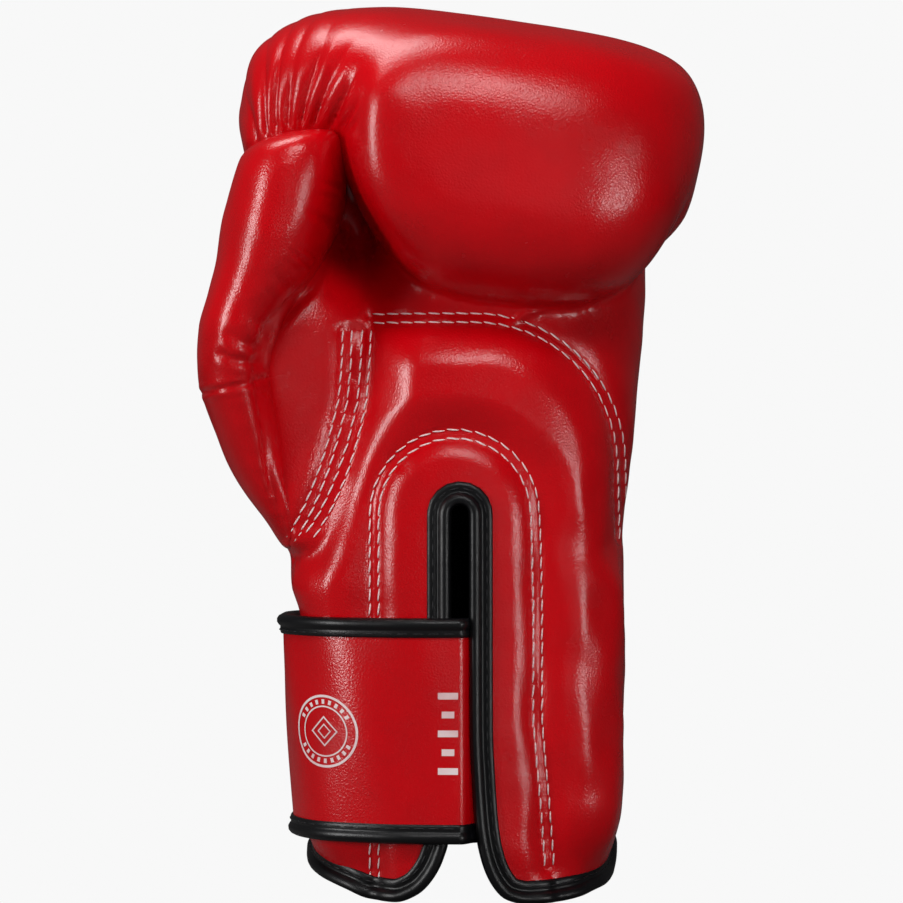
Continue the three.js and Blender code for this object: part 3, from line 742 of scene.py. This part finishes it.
def woven_cloth(name, colour, dark, thread_mm):
    """Woven cloth, such as lining or tape: crossing threads that catch light one after another."""
    made, tree = blank_material(name)
    place = node(tree, "ShaderNodeTexCoord").outputs["Object"]
    repeats = 1000 / thread_mm / math.pi
    warp, weft = (
        node(tree, "ShaderNodeTexWave", {"bands_direction": way}, Vector=place, Scale=repeats, Distortion=0.6)
        for way in ("Z", "DIAGONAL")
    )
    crossed = {"operation": "MULTIPLY"}
    both = node(tree, "ShaderNodeMath", crossed, i0=warp.outputs["Fac"], i1=weft.outputs["Fac"])
    tint = node(tree, "ShaderNodeValToRGB", Fac=both.outputs[0])
    tint.color_ramp.elements[0].color = (*dark, 1)
    tint.color_ramp.elements[1].color = (*colour, 1)
    bump = node(tree, "ShaderNodeBump", Height=both.outputs[0], Strength=0.6, Distance=0.2 * MM)
    shader = node(
        tree, "ShaderNodeBsdfPrincipled", Base_Color=tint.outputs["Color"], Roughness=0.85,
        Normal=bump.outputs["Normal"], Sheen_Weight=0.25,
    )
    node(tree, "ShaderNodeOutputMaterial", Surface=shader.outputs["BSDF"])
    return made


def twisted_thread(name, colour, dark):
    """Bonded nylon sewing thread: two strands twisted together, so each stitch shows slanted bands."""
    made, tree = blank_material(name)
    place = node(tree, "ShaderNodeTexCoord").outputs["Object"]
    slanted = {"bands_direction": "DIAGONAL"}
    twist = node(tree, "ShaderNodeTexWave", slanted, Vector=place, Scale=450.0, Distortion=1.0)
    tint = node(tree, "ShaderNodeValToRGB", Fac=twist.outputs["Fac"])
    tint.color_ramp.elements[0].color = (*dark, 1)
    tint.color_ramp.elements[1].color = (*colour, 1)
    bump = node(tree, "ShaderNodeBump", Height=twist.outputs["Fac"], Strength=0.5, Distance=0.1 * MM)
    shader = node(
        tree, "ShaderNodeBsdfPrincipled", Base_Color=tint.outputs["Color"], Roughness=0.5,
        Normal=bump.outputs["Normal"],
    )
    node(tree, "ShaderNodeOutputMaterial", Surface=shader.outputs["BSDF"])
    return made


MATERIALS = {}


def darker(colour, share):
    """The same colour with less light in it."""
    return [c * share for c in colour]


def material(name):
    """One of the glove's materials, made when it is first asked for."""
    settings = bpy.context.scene.glove
    red, black, pale = settings.leather_colour, settings.binding_colour, settings.thread_colour
    # The leathers' last three values: roughness, grain and the grain's depth, both in millimetres
    looks = {
        "red_leather": (coated_leather, "calendered_red_leather", red, darker(red, 0.86), 0.24, 1.1, 0.165),
        "black_leather": (coated_leather, "folded_black_leather", black, darker(black, 0.5), 0.38, 0.9, 0.1),
        "print": (
            coated_leather, "screen_printed_white", linear("#F0DDDD"), linear("#D9AEB0"), 0.45, 1.0, 0.05,
        ),
        "thread": (twisted_thread, "twisted_nylon_thread", pale, darker(pale, 0.75)),
        "black_thread": (twisted_thread, "black_nylon_thread", linear("#17181C"), linear("#08080A")),
        "lining": (woven_cloth, "plain_woven_lining", linear("#141416"), linear("#070708"), 1.0),
        "tape": (woven_cloth, "hook_and_loop_tape", linear("#1C1C20"), linear("#08080A"), 1.6),
    }
    if name not in MATERIALS:
        maker, *values = looks[name]
        MATERIALS[name] = maker(*values)
    return MATERIALS[name]


def finish_piece(piece, body, look, slot, replaced=(), fill=None):
    """Gives a piece its material, the body that it rides on and the frame nodes that it stands for."""
    piece.data.materials.clear()
    piece.data.materials.append(material(look))
    if body:
        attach(piece, body)
    if replaced:
        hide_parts(*replaced)
    return piece


# ---------------------------------------------------------------- settings


class GloveSettings(bpy.types.PropertyGroup):
    """Sizes and colours that a user may change."""

    skin_detail: FloatProperty(
        name="Skin detail",
        description="Spacing of the sculpted skin's points before it is refined",
        default=0.002, min=0.001, unit="LENGTH",
    )
    stitch_length: FloatProperty(
        name="Stitch length",
        description="From one needle hole to the next",
        default=0.0047, min=0.001, unit="LENGTH",
    )
    thread_width: FloatProperty(
        name="Thread width",
        description="Thickness of the sewing thread",
        default=0.00058, min=0.0002, unit="LENGTH",
    )
    binding_width: FloatProperty(
        name="Binding width",
        description="Width of the black binding on the palm",
        default=0.0072, min=0.003, unit="LENGTH",
    )
    pleats: IntProperty(
        name="Pleats",
        description="Gathers at the thumb end of the fist",
        default=10, min=0, max=24,
    )
    leather_colour: FloatVectorProperty(
        name="Leather",
        description="Colour of the panels",
        subtype="COLOR", default=linear("#C6000C"),
    )
    binding_colour: FloatVectorProperty(
        name="Binding",
        description="Colour of the bindings",
        subtype="COLOR", default=linear("#050508"),
    )
    thread_colour: FloatVectorProperty(
        name="Thread",
        description="Colour of the seams",
        subtype="COLOR", default=linear("#FFE6E6"),
    )
    floor_colour: FloatVectorProperty(
        name="Floor",
        description="Colour of the floor and backdrop",
        subtype="COLOR", default=linear("#F8F8F8"),
    )


# ---------------------------------------------------------------- pieces


def cut_skin(name, chosen, **finish):
    """Cuts the chosen faces out of the skin as one panel, keeping the whole skin's shading."""
    whole = skin()
    faces = [whole["faces"][i] for i in np.flatnonzero(chosen)]
    used = np.unique(np.concatenate(faces))
    renumber = np.zeros(len(whole["points"]), int)
    renumber[used] = np.arange(len(used))
    piece = new_piece(name, whole["points"][used], [renumber[f] for f in faces])
    piece.data.normals_split_custom_set_from_vertices(whole["normals"][used].tolist())
    return finish_piece(piece, "glove", "red_leather", "red_leather", **finish)


class GLOVE_OT_panels(bpy.types.Operator):
    """Makes the padded leather panels"""

    bl_idname = "glove.panels"
    bl_label = "Leather panels"

    def execute(self, context):
        whole = skin()
        quads = np.array([f[:4] for f in whole["faces"]])
        middle = whole["points"][quads].mean(1)
        x, y, z = middle.T
        seen = middle[:, [0, 2]]
        label = whole["label"][quads[:, 0]]
        edge, _ = path_reach(np.stack([unrolled(middle), z], 1), bound_edge())
        kept = (z > 150) | (edge > 2.0) | (label != "hand")
        hand = label == "hand"
        palm = hand & (y < 4)
        strip = (path_reach(seen, STRIP_INNER)[0] > 0) & (path_reach(seen, STRIP_OUTER)[0] < 0)
        strip &= (y < 0) & (z > STRIP_FOOT) & (z < STRIP_TOP) & np.isin(label, ["hand", "web"])
        above = (path_reach(seen, PALM_SEAM)[0] > 0) & (z > 140) | (z > PALM_SEAM_TOP)
        inside = path_reach(seen, FACING_SEAM)[0] < 0
        end = np.isin(label, ["fist", "roll"]) & (x < -34)
        back = ~palm & ((z > STRAP_HIGH) | ~hand)
        back_nodes = ("back_cover", "knuckle_foam_outer", "back_hand_foam")
        # name, faces, the frame nodes that it stands for and how full it is stuffed
        panels = (
            ("thumb_seam_strip_leather", strip, ("thumb_seam_strip",), 0.2),
            ("thumb_outer_leather", label == "thumb", ("thumb_outer_panel", "thumb_foam"), 0.9),
            ("thumb_inner_leather", label == "web", ("thumb_inner_panel",), 0.5),
            ("fist_end_gathered_leather", end, ("fist_end_panel", "knuckle_foam_inner"), 0.8),
            ("back_and_knuckle_leather", back, back_nodes, 0.95),
            ("cuff_back_leather", hand & ~palm, ("cuff_back_cover", "cuff_back_foam"), 0.7),
            ("side_gusset_leather", palm & above & (x > 45), ("side_gusset",), 0.5),
            ("upper_palm_leather", palm & above, ("palm_upper_panel",), 0.5),
            ("slit_facing_leather", palm & inside, ("slit_facing",), 0.4),
            ("palm_pad_leather", palm, ("palm_pad_cover", "palm_pad_foam"), 0.9),
        )
        left = kept
        for name, chosen, replaced, fill in panels:
            cut_skin(name, left & chosen, replaced=replaced, fill=fill)
            left = left & ~chosen
        return {"FINISHED"}


def swept(name, rings, closed=False):
    """A tube through rings of points, with flat ends unless it closes on itself."""
    rings = np.array(rings, float)
    rows, columns = rings.shape[:2]
    faces = grid_faces(rows, columns, closed_rows=closed)
    if not closed:
        faces.append(tuple(range(columns))[::-1])
        faces.append(tuple(range((rows - 1) * columns, rows * columns)))
    return new_piece(name, rings.reshape(-1, 3), faces)


class GLOVE_OT_binding(bpy.types.Operator):
    """Makes the black leather binding of the hem and the slit"""

    bl_idname = "glove.binding"
    bl_label = "Edge binding"

    def execute(self, context):
        width = context.scene.glove.binding_width / MM
        # (how far in from the edge, how far out of the skin), round the folded strip
        profile = (
            (width, -1.0), (width, 0.5), (width - 0.5, 1.0),
            (width - 1.4, 1.15), (width * 0.62, 1.0), (width * 0.54, 0.75),
            (width * 0.48, 1.2), (width * 0.40, 2.1), (width * 0.27, 2.8),
            (width * 0.13, 2.9), (0, 2.4), (-0.5, 1.3),
            (-0.7, -0.5), (-0.7, -5), (-0.4, -9), (0.8, -11), (3.5, -11.6),
            (5.5, -11.0), (5.5, -9.0), (3.2, -4.0), (3.6, -1.6),
        )
        path = even_path(bound_edge(), 1.3)
        run = np.gradient(path, axis=0)
        run /= np.linalg.norm(run, axis=1)[:, None]
        inward = np.stack([-run[:, 1], run[:, 0]], 1)
        rings = []
        for spot, side in zip(path, inward):
            ring = []
            base = on_skin(spot[0] + side[0] * width / 2, max(1.0, spot[1] + side[1] * width / 2), 0)
            middle, _ = round_cuff(spot[0] + side[0] * width / 2)
            for reach, out in profile:
                along, height = spot[0] + side[0] * reach, spot[1] + side[1] * reach
                foot, away = round_cuff(along)
                across = foot - middle + away * out
                ring.append((base.x + across[0], base.y + across[1], max(0.1, height)))
            rings.append(ring)
        piece = swept("hem_and_slit_binding", rings[:-1], closed=True)
        finish_piece(piece, "glove", "black_leather", "black_binding", ("edge_binding",))
        return {"FINISHED"}


CUFF_INSET = 11.5  # how far the lining lies inside the leather, round the cuff
HAND_INSET = 22.0  # and on the palm and the back of the hand


def lining_form():
    """The hollow for the hand, a wall's thickness inside the cuff and the palm."""
    # height, the leather's two sides, its palm and its back, and the inset of palm and back
    outside = (
        (3, -44, 53, -41, 41, CUFF_INSET), (25, -49, 57, -41, 41, CUFF_INSET),
        (95, -50, 59, -41, 41, CUFF_INSET), (130, -46, 58, -40, 44, HAND_INSET),
        (200, -40, 60, -22, 56, HAND_INSET), (228, -38, 60, -6, 56, HAND_INSET),
    )
    stations = [
        (z, left + CUFF_INSET, right - CUFF_INSET, palm + inset, back - inset)
        for z, left, right, palm, back, inset in outside
    ]
    return form(stations, square=2.5, domes=(0, 24), ring_step=4.0)


class GLOVE_OT_lining(bpy.types.Operator):
    """Makes the cloth lining of the hand and thumb, and dresses the grip bar"""

    bl_idname = "glove.lining"
    bl_label = "Lining and grip bar"

    def execute(self, context):
        points, faces = lining_form()
        middle = np.array([points[list(f)].mean(0) for f in faces])
        across = np.abs(middle[:, 0] - SLIT_X)
        slit = (middle[:, 1] < 0) & (middle[:, 2] < SLIT_TOP + 1) & (across < SLIT_HALF + 3.5)
        edge, _ = path_reach(np.stack([unrolled(middle), middle[:, 2]], 1), bound_edge())
        slit |= (edge < 5) & (middle[:, 2] < 60)
        mouth = np.array([len(f) > 4 for f in faces]) & (middle[:, 2] < 50)
        kept = [f[::-1] for f, gone in zip(faces, slit | mouth) if not gone]
        lining = new_piece("hand_lining_cloth", points, kept)
        finish_piece(lining, "glove", "lining", "lining_cloth", ("hand_lining",))
        points, faces = form(
            [
                (128, -54, -44, -16, 0), (150, -68, -56, -22, 2),
                (185, -76, -64, -30, 0), (230, -66, -48, -40, -8),
            ],
            domes=(6, 14), ring_step=5.0, sides=40,
        )
        thumb = new_piece("thumb_lining_cloth", points, faces)
        finish_piece(thumb, "glove", "lining", "lining_cloth", ("thumb_lining",))
        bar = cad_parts["grip_bar"]
        bar.data.materials.clear()
        bar.data.materials.append(material("lining"))
        return {"FINISHED"}


class GLOVE_OT_thumb_tab(bpy.types.Operator):
    """Makes the short tab that holds the thumb's tip to the fist"""

    bl_idname = "glove.thumb_tab"
    bl_label = "Thumb lock tab"

    def execute(self, context):
        points, faces = form(
            [(-50, -40, -34, 250, 254.5), (-43, -40, -34, 250.5, 255.5), (-36, -40, -34, 251.5, 256.5)],
            square=2.6, domes=(3, 2), along="x", sides=32, ring_step=0.5,
        )
        tab = new_piece("thumb_lock_leather", points, faces)
        finish_piece(tab, "glove", "red_leather", "red_leather", ("thumb_lock_tab",))
        return {"FINISHED"}


def stitch_mesh(name, stitches, width, look, replaced=(), body="glove"):
    """Stitches as short rounded lengths of thread. Each is (start, end, outward normal)."""
    points, faces = [], []
    sides = 6
    shape = ((0.0, 0.35), (0.18, 0.85), (0.5, 1.0), (0.82, 0.85), (1.0, 0.35))
    for start, end, normal in stitches:
        run = (end - start).normalized()
        side = run.cross(normal).normalized()
        up = side.cross(run)
        base = len(points)
        for share, size in shape:
            centre = start.lerp(end, share) + up * width * (0.42 * size - 0.1)
            for k in range(sides):
                turn = 2 * math.pi * k / sides
                rim = side * math.cos(turn) + up * math.sin(turn) * 0.8
                points.append(tuple(centre + rim * width * 0.5 * size))
        faces += [tuple(base + i for i in f) for f in grid_faces(len(shape), sides)]
        faces.append(tuple(base + k for k in range(sides))[::-1])
        faces.append(tuple(base + (len(shape) - 1) * sides + k for k in range(sides)))
    piece = new_piece(name, points, faces)
    return finish_piece(piece, body, look, "seam_thread", replaced)


def palm_spot(x, z):
    """Where a line of sight from the palm side meets the skin, and the skin's direction there."""
    spot, normal, _, _ = skin()["tree"].ray_cast(Vector((x, -200, z)), Vector((0, 1, 0)), 400)
    return (spot, normal) if spot is not None else (None, None)


def sewn_rows(paths):
    """Stitches on the skin along each path (x, z)."""
    pitch = bpy.context.scene.glove.stitch_length / MM
    made = []
    for path in paths:
        spots = even_path(path, pitch)
        for a, b in zip(spots[:-1], spots[1:]):
            run = (b - a) / np.linalg.norm(b - a)
            slant = np.array([-run[1], run[0]]) * random.uniform(0.1, 0.28)
            start, normal = palm_spot(*(a + (b - a) * random.uniform(0.05, 0.1) + slant))
            end, _ = palm_spot(*(a + (b - a) * random.uniform(0.9, 0.95) - slant))
            if start is None or end is None or (end - start).length > pitch * 1.6:
                continue
            made.append((start, end, -normal if normal.y > 0 else normal))
    return made


def beside(path, distance):
    """The path moved to its left by a distance."""
    path = even_path(path, 1.0)
    run = np.gradient(path, axis=0)
    run /= np.linalg.norm(run, axis=1)[:, None]
    return path + np.stack([-run[:, 1], run[:, 0]], 1) * distance


class GLOVE_OT_seams(bpy.types.Operator):
    """Sews the double rows of pale thread, and the black rows of the bindings"""

    bl_idname = "glove.seams"
    bl_label = "Seam threads"

    def execute(self, context):
        half = SEAM_ROW_GAP / 2
        width = context.scene.glove.thread_width / MM
        palm_rows = [beside(PALM_SEAM, half), beside(PALM_SEAM, -half)]
        facing_rows = [beside(FACING_SEAM, half), beside(FACING_SEAM, -half)]
        inner_rows = [STRIP_INNER, beside(STRIP_INNER, SEAM_ROW_GAP)]
        outer_rows = [STRIP_OUTER, beside(STRIP_OUTER, -SEAM_ROW_GAP)]
        for name, paths, node_name in (
            ("palm_seam_stitches", palm_rows, "palm_seam_thread"),
            ("slit_facing_stitches", facing_rows, "slit_facing_thread"),
            ("thumb_strip_inner_stitches", inner_rows, "thumb_strip_thread_inner"),
            ("thumb_strip_outer_stitches", outer_rows, "thumb_strip_thread_outer"),
        ):
            stitch_mesh(name, sewn_rows(paths), width, "thread", (node_name,))
        pitch = context.scene.glove.stitch_length / MM
        inset = context.scene.glove.binding_width / MM * 0.72
        spots = even_path(beside(bound_edge(), inset), pitch)
        made = []
        for a, b in zip(spots[:-1], spots[1:]):
            places = [a + (b - a) * 0.15, a + (b - a) * 0.85]
            start, end = (on_skin(p[0], max(1.5, p[1]), 1.1) for p in places)
            if (end - start).length < pitch * 1.5:
                made.append((start, end, Vector((*round_cuff(a[0])[1], 0))))
        stitch_mesh("binding_stitches", made, width, "black_thread")
        return {"FINISHED"}


STRAP_ROOT = 5.6  # lengths round the cuff from the slit; the strap runs towards the thumb side
STRAP_SPLIT = -ROUND / 4 - 2
STRAP_FOLD_X = -31.1  # where the strap folds, on the palm and on the back
FOLD_REACH = 6  # the two fold points lie this length to each side of a fold place
TAIL_END_X = 38
BINDING_DEEP = 6.5


def strap_tail_end():
    """Where the tail ends on the back of the glove."""
    back = np.linspace(-ROUND / 2 - 60, -ROUND / 4, 600)
    return float(back[np.abs(round_cuff(back)[0][:, 0] - TAIL_END_X).argmin()])


def along_strap(x, back=False):
    """The length round the cuff at which the strap passes this x, on the palm or on the back."""
    first, last, count = (-ROUND / 2 - 60, -ROUND / 4 - 1, 800) if back else (1 - ROUND / 4, 6, 800)
    places = np.linspace(first, last, count)
    return float(places[np.abs(round_cuff(places)[0][:, 0] - x).argmin()])


def fold_ends(fold):
    """Two points on the strap's face at its middle height, FOLD_REACH to either side of this fold place."""
    places = fold + np.array([FOLD_REACH, -FOLD_REACH])
    return [tuple(p) for p in to_frame(strap_point(places, np.full(2, STRAP_MIDDLE), np.zeros(2)))]


def strap_part(name, start, end, profile, look, slot, replaced):
    """Sweeps a profile of (height, out) along the strap from start to end."""
    places = np.linspace(start, end, max(2, int(abs(end - start) / 1.2)))
    heights = np.array([p[0] for p in profile])
    outs = np.array([p[1] for p in profile])
    rings = [strap_point(np.full(len(profile), place), heights, outs) for place in places]
    piece = swept(name, rings)
    return finish_piece(piece, None, look, slot, replaced)


def strap_stitches(name, start, end):
    """The black row sewn through each of the strap's two bindings."""
    settings = bpy.context.scene.glove
    pitch = settings.stitch_length / MM
    places = np.arange(start - 2, end + 2, -pitch)
    made = []
    for height in (STRAP_LOW + 5.2, STRAP_HIGH - 5.2):
        for place in places:
            ends = strap_point(place - pitch * np.array([0.14, 0.86]), np.full(2, height), np.full(2, 1.0))
            away = Vector((*round_cuff(place)[1], 0))
            made.append((Vector(ends[0]), Vector(ends[1]), away))
    return stitch_mesh(name, made, settings.thread_width / MM, "black_thread", body=None)


def face_profile():
    """The strap's leather between its two bindings, turned over at the back."""
    low, high = STRAP_LOW + BINDING_DEEP * 0.6, STRAP_HIGH - BINDING_DEEP * 0.6
    heights = np.linspace(low, high, 44)
    return [(h, 0.0) for h in heights] + [(h, -STRAP_THICK) for h in heights[::-1]]


def bead_profile(low, upward):
    """A folded binding: a round bead at the strap's edge and a flat sewn margin towards its middle."""
    shape = (
        (0, -0.9), (0.0, 0.6), (0.5, 1.5), (1.4, 2.1), (2.6, 2.1), (3.5, 1.5), (4.0, 0.95), (4.4, 1.0),
        (5.8, 1.0), (6.4, 0.7), (6.5, -0.2), (6.3, -2.4), (3.0, -3.4), (0.8, -2.6),
    )
    edge = low if upward else low + BINDING_DEEP
    return [(edge + (reach if upward else -reach), out) for reach, out in shape]


def ring_band(inner, outer, turns):
    """A band between two radii over these turns, as (across, up) pairs."""
    return [[(math.cos(t) * r, math.sin(t) * r) for r in (inner, outer)] for t in turns]


class GLOVE_OT_strap(bpy.types.Operator):
    """Makes the wrist strap, its bindings, its tapes and its printed marks"""

    bl_idname = "glove.strap"
    bl_label = "Wrist strap"

    def execute(self, context):
        tail = strap_tail_end()
        palm_fold, back_fold = along_strap(STRAP_FOLD_X), along_strap(STRAP_FOLD_X, back=True)
        spans = (
            ("palm", STRAP_ROOT, STRAP_SPLIT, "strap_front", "strap_side", palm_fold, ("front", "side")),
            ("tail", STRAP_SPLIT, tail, "strap_side", "strap_tail", back_fold, ("tail",)),
        )
        low_bead, high_bead = bead_profile(STRAP_LOW, True), bead_profile(STRAP_HIGH - BINDING_DEEP, False)
        for name, start, end, body_a, body_b, fold, nodes in spans:
            leathers = tuple(f"strap_{n}_{layer}" for layer in ("leather", "backing") for n in nodes)
            tops, bottoms = (tuple(f"strap_{n}_binding_{side}" for n in nodes) for side in ("top", "bottom"))
            parts = (
                (f"strap_{name}_leather_face", face_profile(), "red_leather", "red_leather", leathers),
                (f"strap_{name}_top_bead", high_bead, "black_leather", "black_binding", tops),
                (f"strap_{name}_bottom_bead", low_bead, "black_leather", "black_binding", bottoms),
            )
            near, far = fold_ends(fold)
            for part, profile, look, slot, replaced in parts:
                piece = strap_part(part, start, end, profile, look, slot, replaced)
                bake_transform(piece)
            rows = strap_stitches(f"strap_{name}_binding_stitches", start, end)
            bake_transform(rows)
        edge = [(STRAP_LOW, -2.6), (STRAP_LOW, 1.6), (STRAP_HIGH, 1.6), (STRAP_HIGH, -2.6)]
        piece = strap_part(
            "strap_tail_end_binding", tail + 3.0, tail - 1.5, edge,
            "black_leather", "black_binding", ("strap_end_binding",),
        )
        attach(piece, "strap_tail")
        self.tapes()
        near, far = fold_ends(palm_fold)
        for piece in self.prints():
            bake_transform(piece)
        return {"FINISHED"}

    def tapes(self):
        """The hook tape inside the tail and the loop tape on the cuff under it."""
        low, high = STRAP_LOW + 9, STRAP_HIGH - 9
        start, end = along_strap(-18, back=True), along_strap(33, back=True)
        for name, inner, outer, body, replaced in (
            ("hook_tape_strip", -3.3, -2.7, "strap_tail", "hook_tape"),
            ("loop_tape_strip", -4.2, -3.5, "glove", "loop_tape"),
        ):
            profile = [(low, outer), (high, outer), (high, inner), (low, inner)]
            piece = strap_part(name, start, end, profile, "tape", "fastening_tape", (replaced,))
            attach(piece, body)

    def prints(self):
        """A plain ring badge with a diamond in it, and a ladder of short bars."""
        circle = np.linspace(0, 2 * math.pi, 73)
        shapes = [ring_band(11.3, 12.1, circle), ring_band(8.0, 8.5, circle)]
        ticks = 24
        for k in range(ticks):
            if k % 12 in (0, 1, 11):
                continue
            turn = 2 * math.pi * k / ticks
            shapes.append(ring_band(9.1, 10.6, (turn - 0.055, turn + 0.055)))
        for inner, outer in ((4.4, 5.1), (2.0, 2.6)):
            corners = [np.array([math.cos(math.pi / 2 * k), math.sin(math.pi / 2 * k)]) for k in range(5)]
            for a, b in zip(corners[:-1], corners[1:]):
                side = [a + (b - a) * t for t in np.linspace(0, 1, 8)]
                shapes.append([[spot * inner, spot * outer] for spot in side])
        badge = self.print_piece("printed_ring_badge", along_strap(-38.5), shapes)
        bars = []
        for k in range(5):
            low = -13.5 + k * 6.2
            half = 3.2 if k % 2 == 0 else 2.0
            bars.append([[(t * half, low), (t * half, low + 2.2)] for t in np.linspace(-1, 1, 7)])
        return badge, self.print_piece("printed_bars", along_strap(-1.0), bars)

    def print_piece(self, name, centre, shapes):
        """Lays flat strips of print on the strap's face. Each shape is a row of (across, up) pairs."""
        points, faces = [], []
        for shape in shapes:
            flat = np.array(shape).reshape(-1, 2)
            base = len(points)
            placed = strap_point(centre + flat[:, 0], STRAP_MIDDLE + flat[:, 1], np.full(len(flat), 0.12))
            points += placed.tolist()
            faces += [tuple(base + i for i in f) for f in grid_faces(len(shape), 2, closed_columns=False)]
        piece = new_piece(name, points, faces)
        return finish_piece(piece, None, "print", "seam_thread")


class GLOVE_OT_stage(bpy.types.Operator):
    """Makes the floor, the lights and the camera"""

    bl_idname = "glove.stage"
    bl_label = "Stage"

    def execute(self, context):
        scene = context.scene
        settings = scene.glove
        scene.view_settings.view_transform = "Standard"
        camera = bpy.data.objects.new("camera", bpy.data.cameras.new("camera"))
        scene.collection.objects.link(camera)
        camera.location = to_frame([0, -EYE_DISTANCE, EYE_HEIGHT])[0].tolist()
        camera.rotation_euler = (math.radians(90), 0, 0)
        camera.data.sensor_width = 36
        camera.data.lens = 36 * EYE_DISTANCE / SEEN_WIDTH
        scene.camera = camera

        world = bpy.data.worlds.new("studio")
        scene.world = world
        world.use_nodes = True
        tree = world.node_tree
        tree.nodes.clear()
        path = node(tree, "ShaderNodeLightPath")
        fill = node(tree, "ShaderNodeBackground", Color=(1, 1, 1, 1), Strength=0.05)
        shown = node(tree, "ShaderNodeBackground", Color=(*settings.floor_colour, 1), Strength=1.0)
        seen = path.outputs["Is Camera Ray"]
        both = node(tree, "ShaderNodeMixShader", Fac=seen, i1=fill.outputs[0], i2=shown.outputs[0])
        node(tree, "ShaderNodeOutputWorld", Surface=both.outputs[0])

        half = 4000
        corners = [(-half, -half, 0), (half, -half, 0), (half, half, 0), (-half, half, 0)]
        floor = new_piece("floor", corners, [(0, 1, 2, 3)], smooth=False)
        paper, tree = blank_material("matt_white_paper")
        path = node(tree, "ShaderNodeLightPath")
        matt = node(tree, "ShaderNodeBsdfDiffuse", Color=(0.12, 0.12, 0.12, 1))
        shown = node(tree, "ShaderNodeEmission", Color=(*settings.floor_colour, 1), Strength=1.0)
        seen = path.outputs["Is Camera Ray"]
        both = node(tree, "ShaderNodeMixShader", Fac=seen, i1=matt.outputs[0], i2=shown.outputs[0])
        node(tree, "ShaderNodeOutputMaterial", Surface=both.outputs[0])
        floor.data.materials.append(paper)

        # name, place, size, watts and whether it shows as a highlight
        lamps = (
            ("overhead_softbox", (-380, 60, 1300), (480, 620), 7.5, True),
            ("left_softbox", (-1220, -600, 380), (260, 640), 9, True),
            ("right_softbox", (1050, -1080, 20), (560, 400), 8.5, True),
            ("pad_softbox", (60, -1000, 1050), (560, 340), 4.5, True),
            ("high_fill", (60, -1150, 1350), (500, 500), 5, False),
            ("front_fill", (250, -1600, 160), (500, 500), 3, False),
        )
        for name, place, (width, height), watts, shiny in lamps:
            light = bpy.data.lights.new(name, "AREA")
            light.shape = "RECTANGLE"
            light.size, light.size_y = width * MM, height * MM
            light.energy = watts
            lamp = bpy.data.objects.new(name, light)
            lamp.location = to_frame(place)[0].tolist()
            towards = Vector(to_frame([10, 0, 190])[0]) - lamp.location
            lamp.rotation_euler = towards.to_track_quat("-Z", "Y").to_euler()
            lamp.visible_glossy = shiny
            scene.collection.objects.link(lamp)
        return {"FINISHED"}


class GLOVE_PT_panel(bpy.types.Panel):
    """The glove's sizes, colours and pieces"""

    bl_label = "Boxing glove"
    bl_space_type = "VIEW_3D"
    bl_region_type = "UI"
    bl_category = "Glove"

    def draw(self, context):
        for name in GloveSettings.__annotations__:
            self.layout.prop(context.scene.glove, name)
        for operator in OPERATORS:
            self.layout.operator(operator.bl_idname)


OPERATORS = (
    GLOVE_OT_stage, GLOVE_OT_panels, GLOVE_OT_binding, GLOVE_OT_lining,
    GLOVE_OT_thumb_tab, GLOVE_OT_seams, GLOVE_OT_strap,
)
CLASSES = (GloveSettings, *OPERATORS, GLOVE_PT_panel)


def register():
    for made in CLASSES:
        bpy.utils.register_class(made)
    bpy.types.Scene.glove = PointerProperty(type=GloveSettings)


def unregister():
    del bpy.types.Scene.glove
    for made in reversed(CLASSES):
        bpy.utils.unregister_class(made)


def main():
    register()
    random.seed(7)
    for operator in OPERATORS:
        group, name = operator.bl_idname.split(".")
        getattr(getattr(bpy.ops, group), name)()
    bpy.context.view_layer.update()


if __name__ == "__main__":
    main()
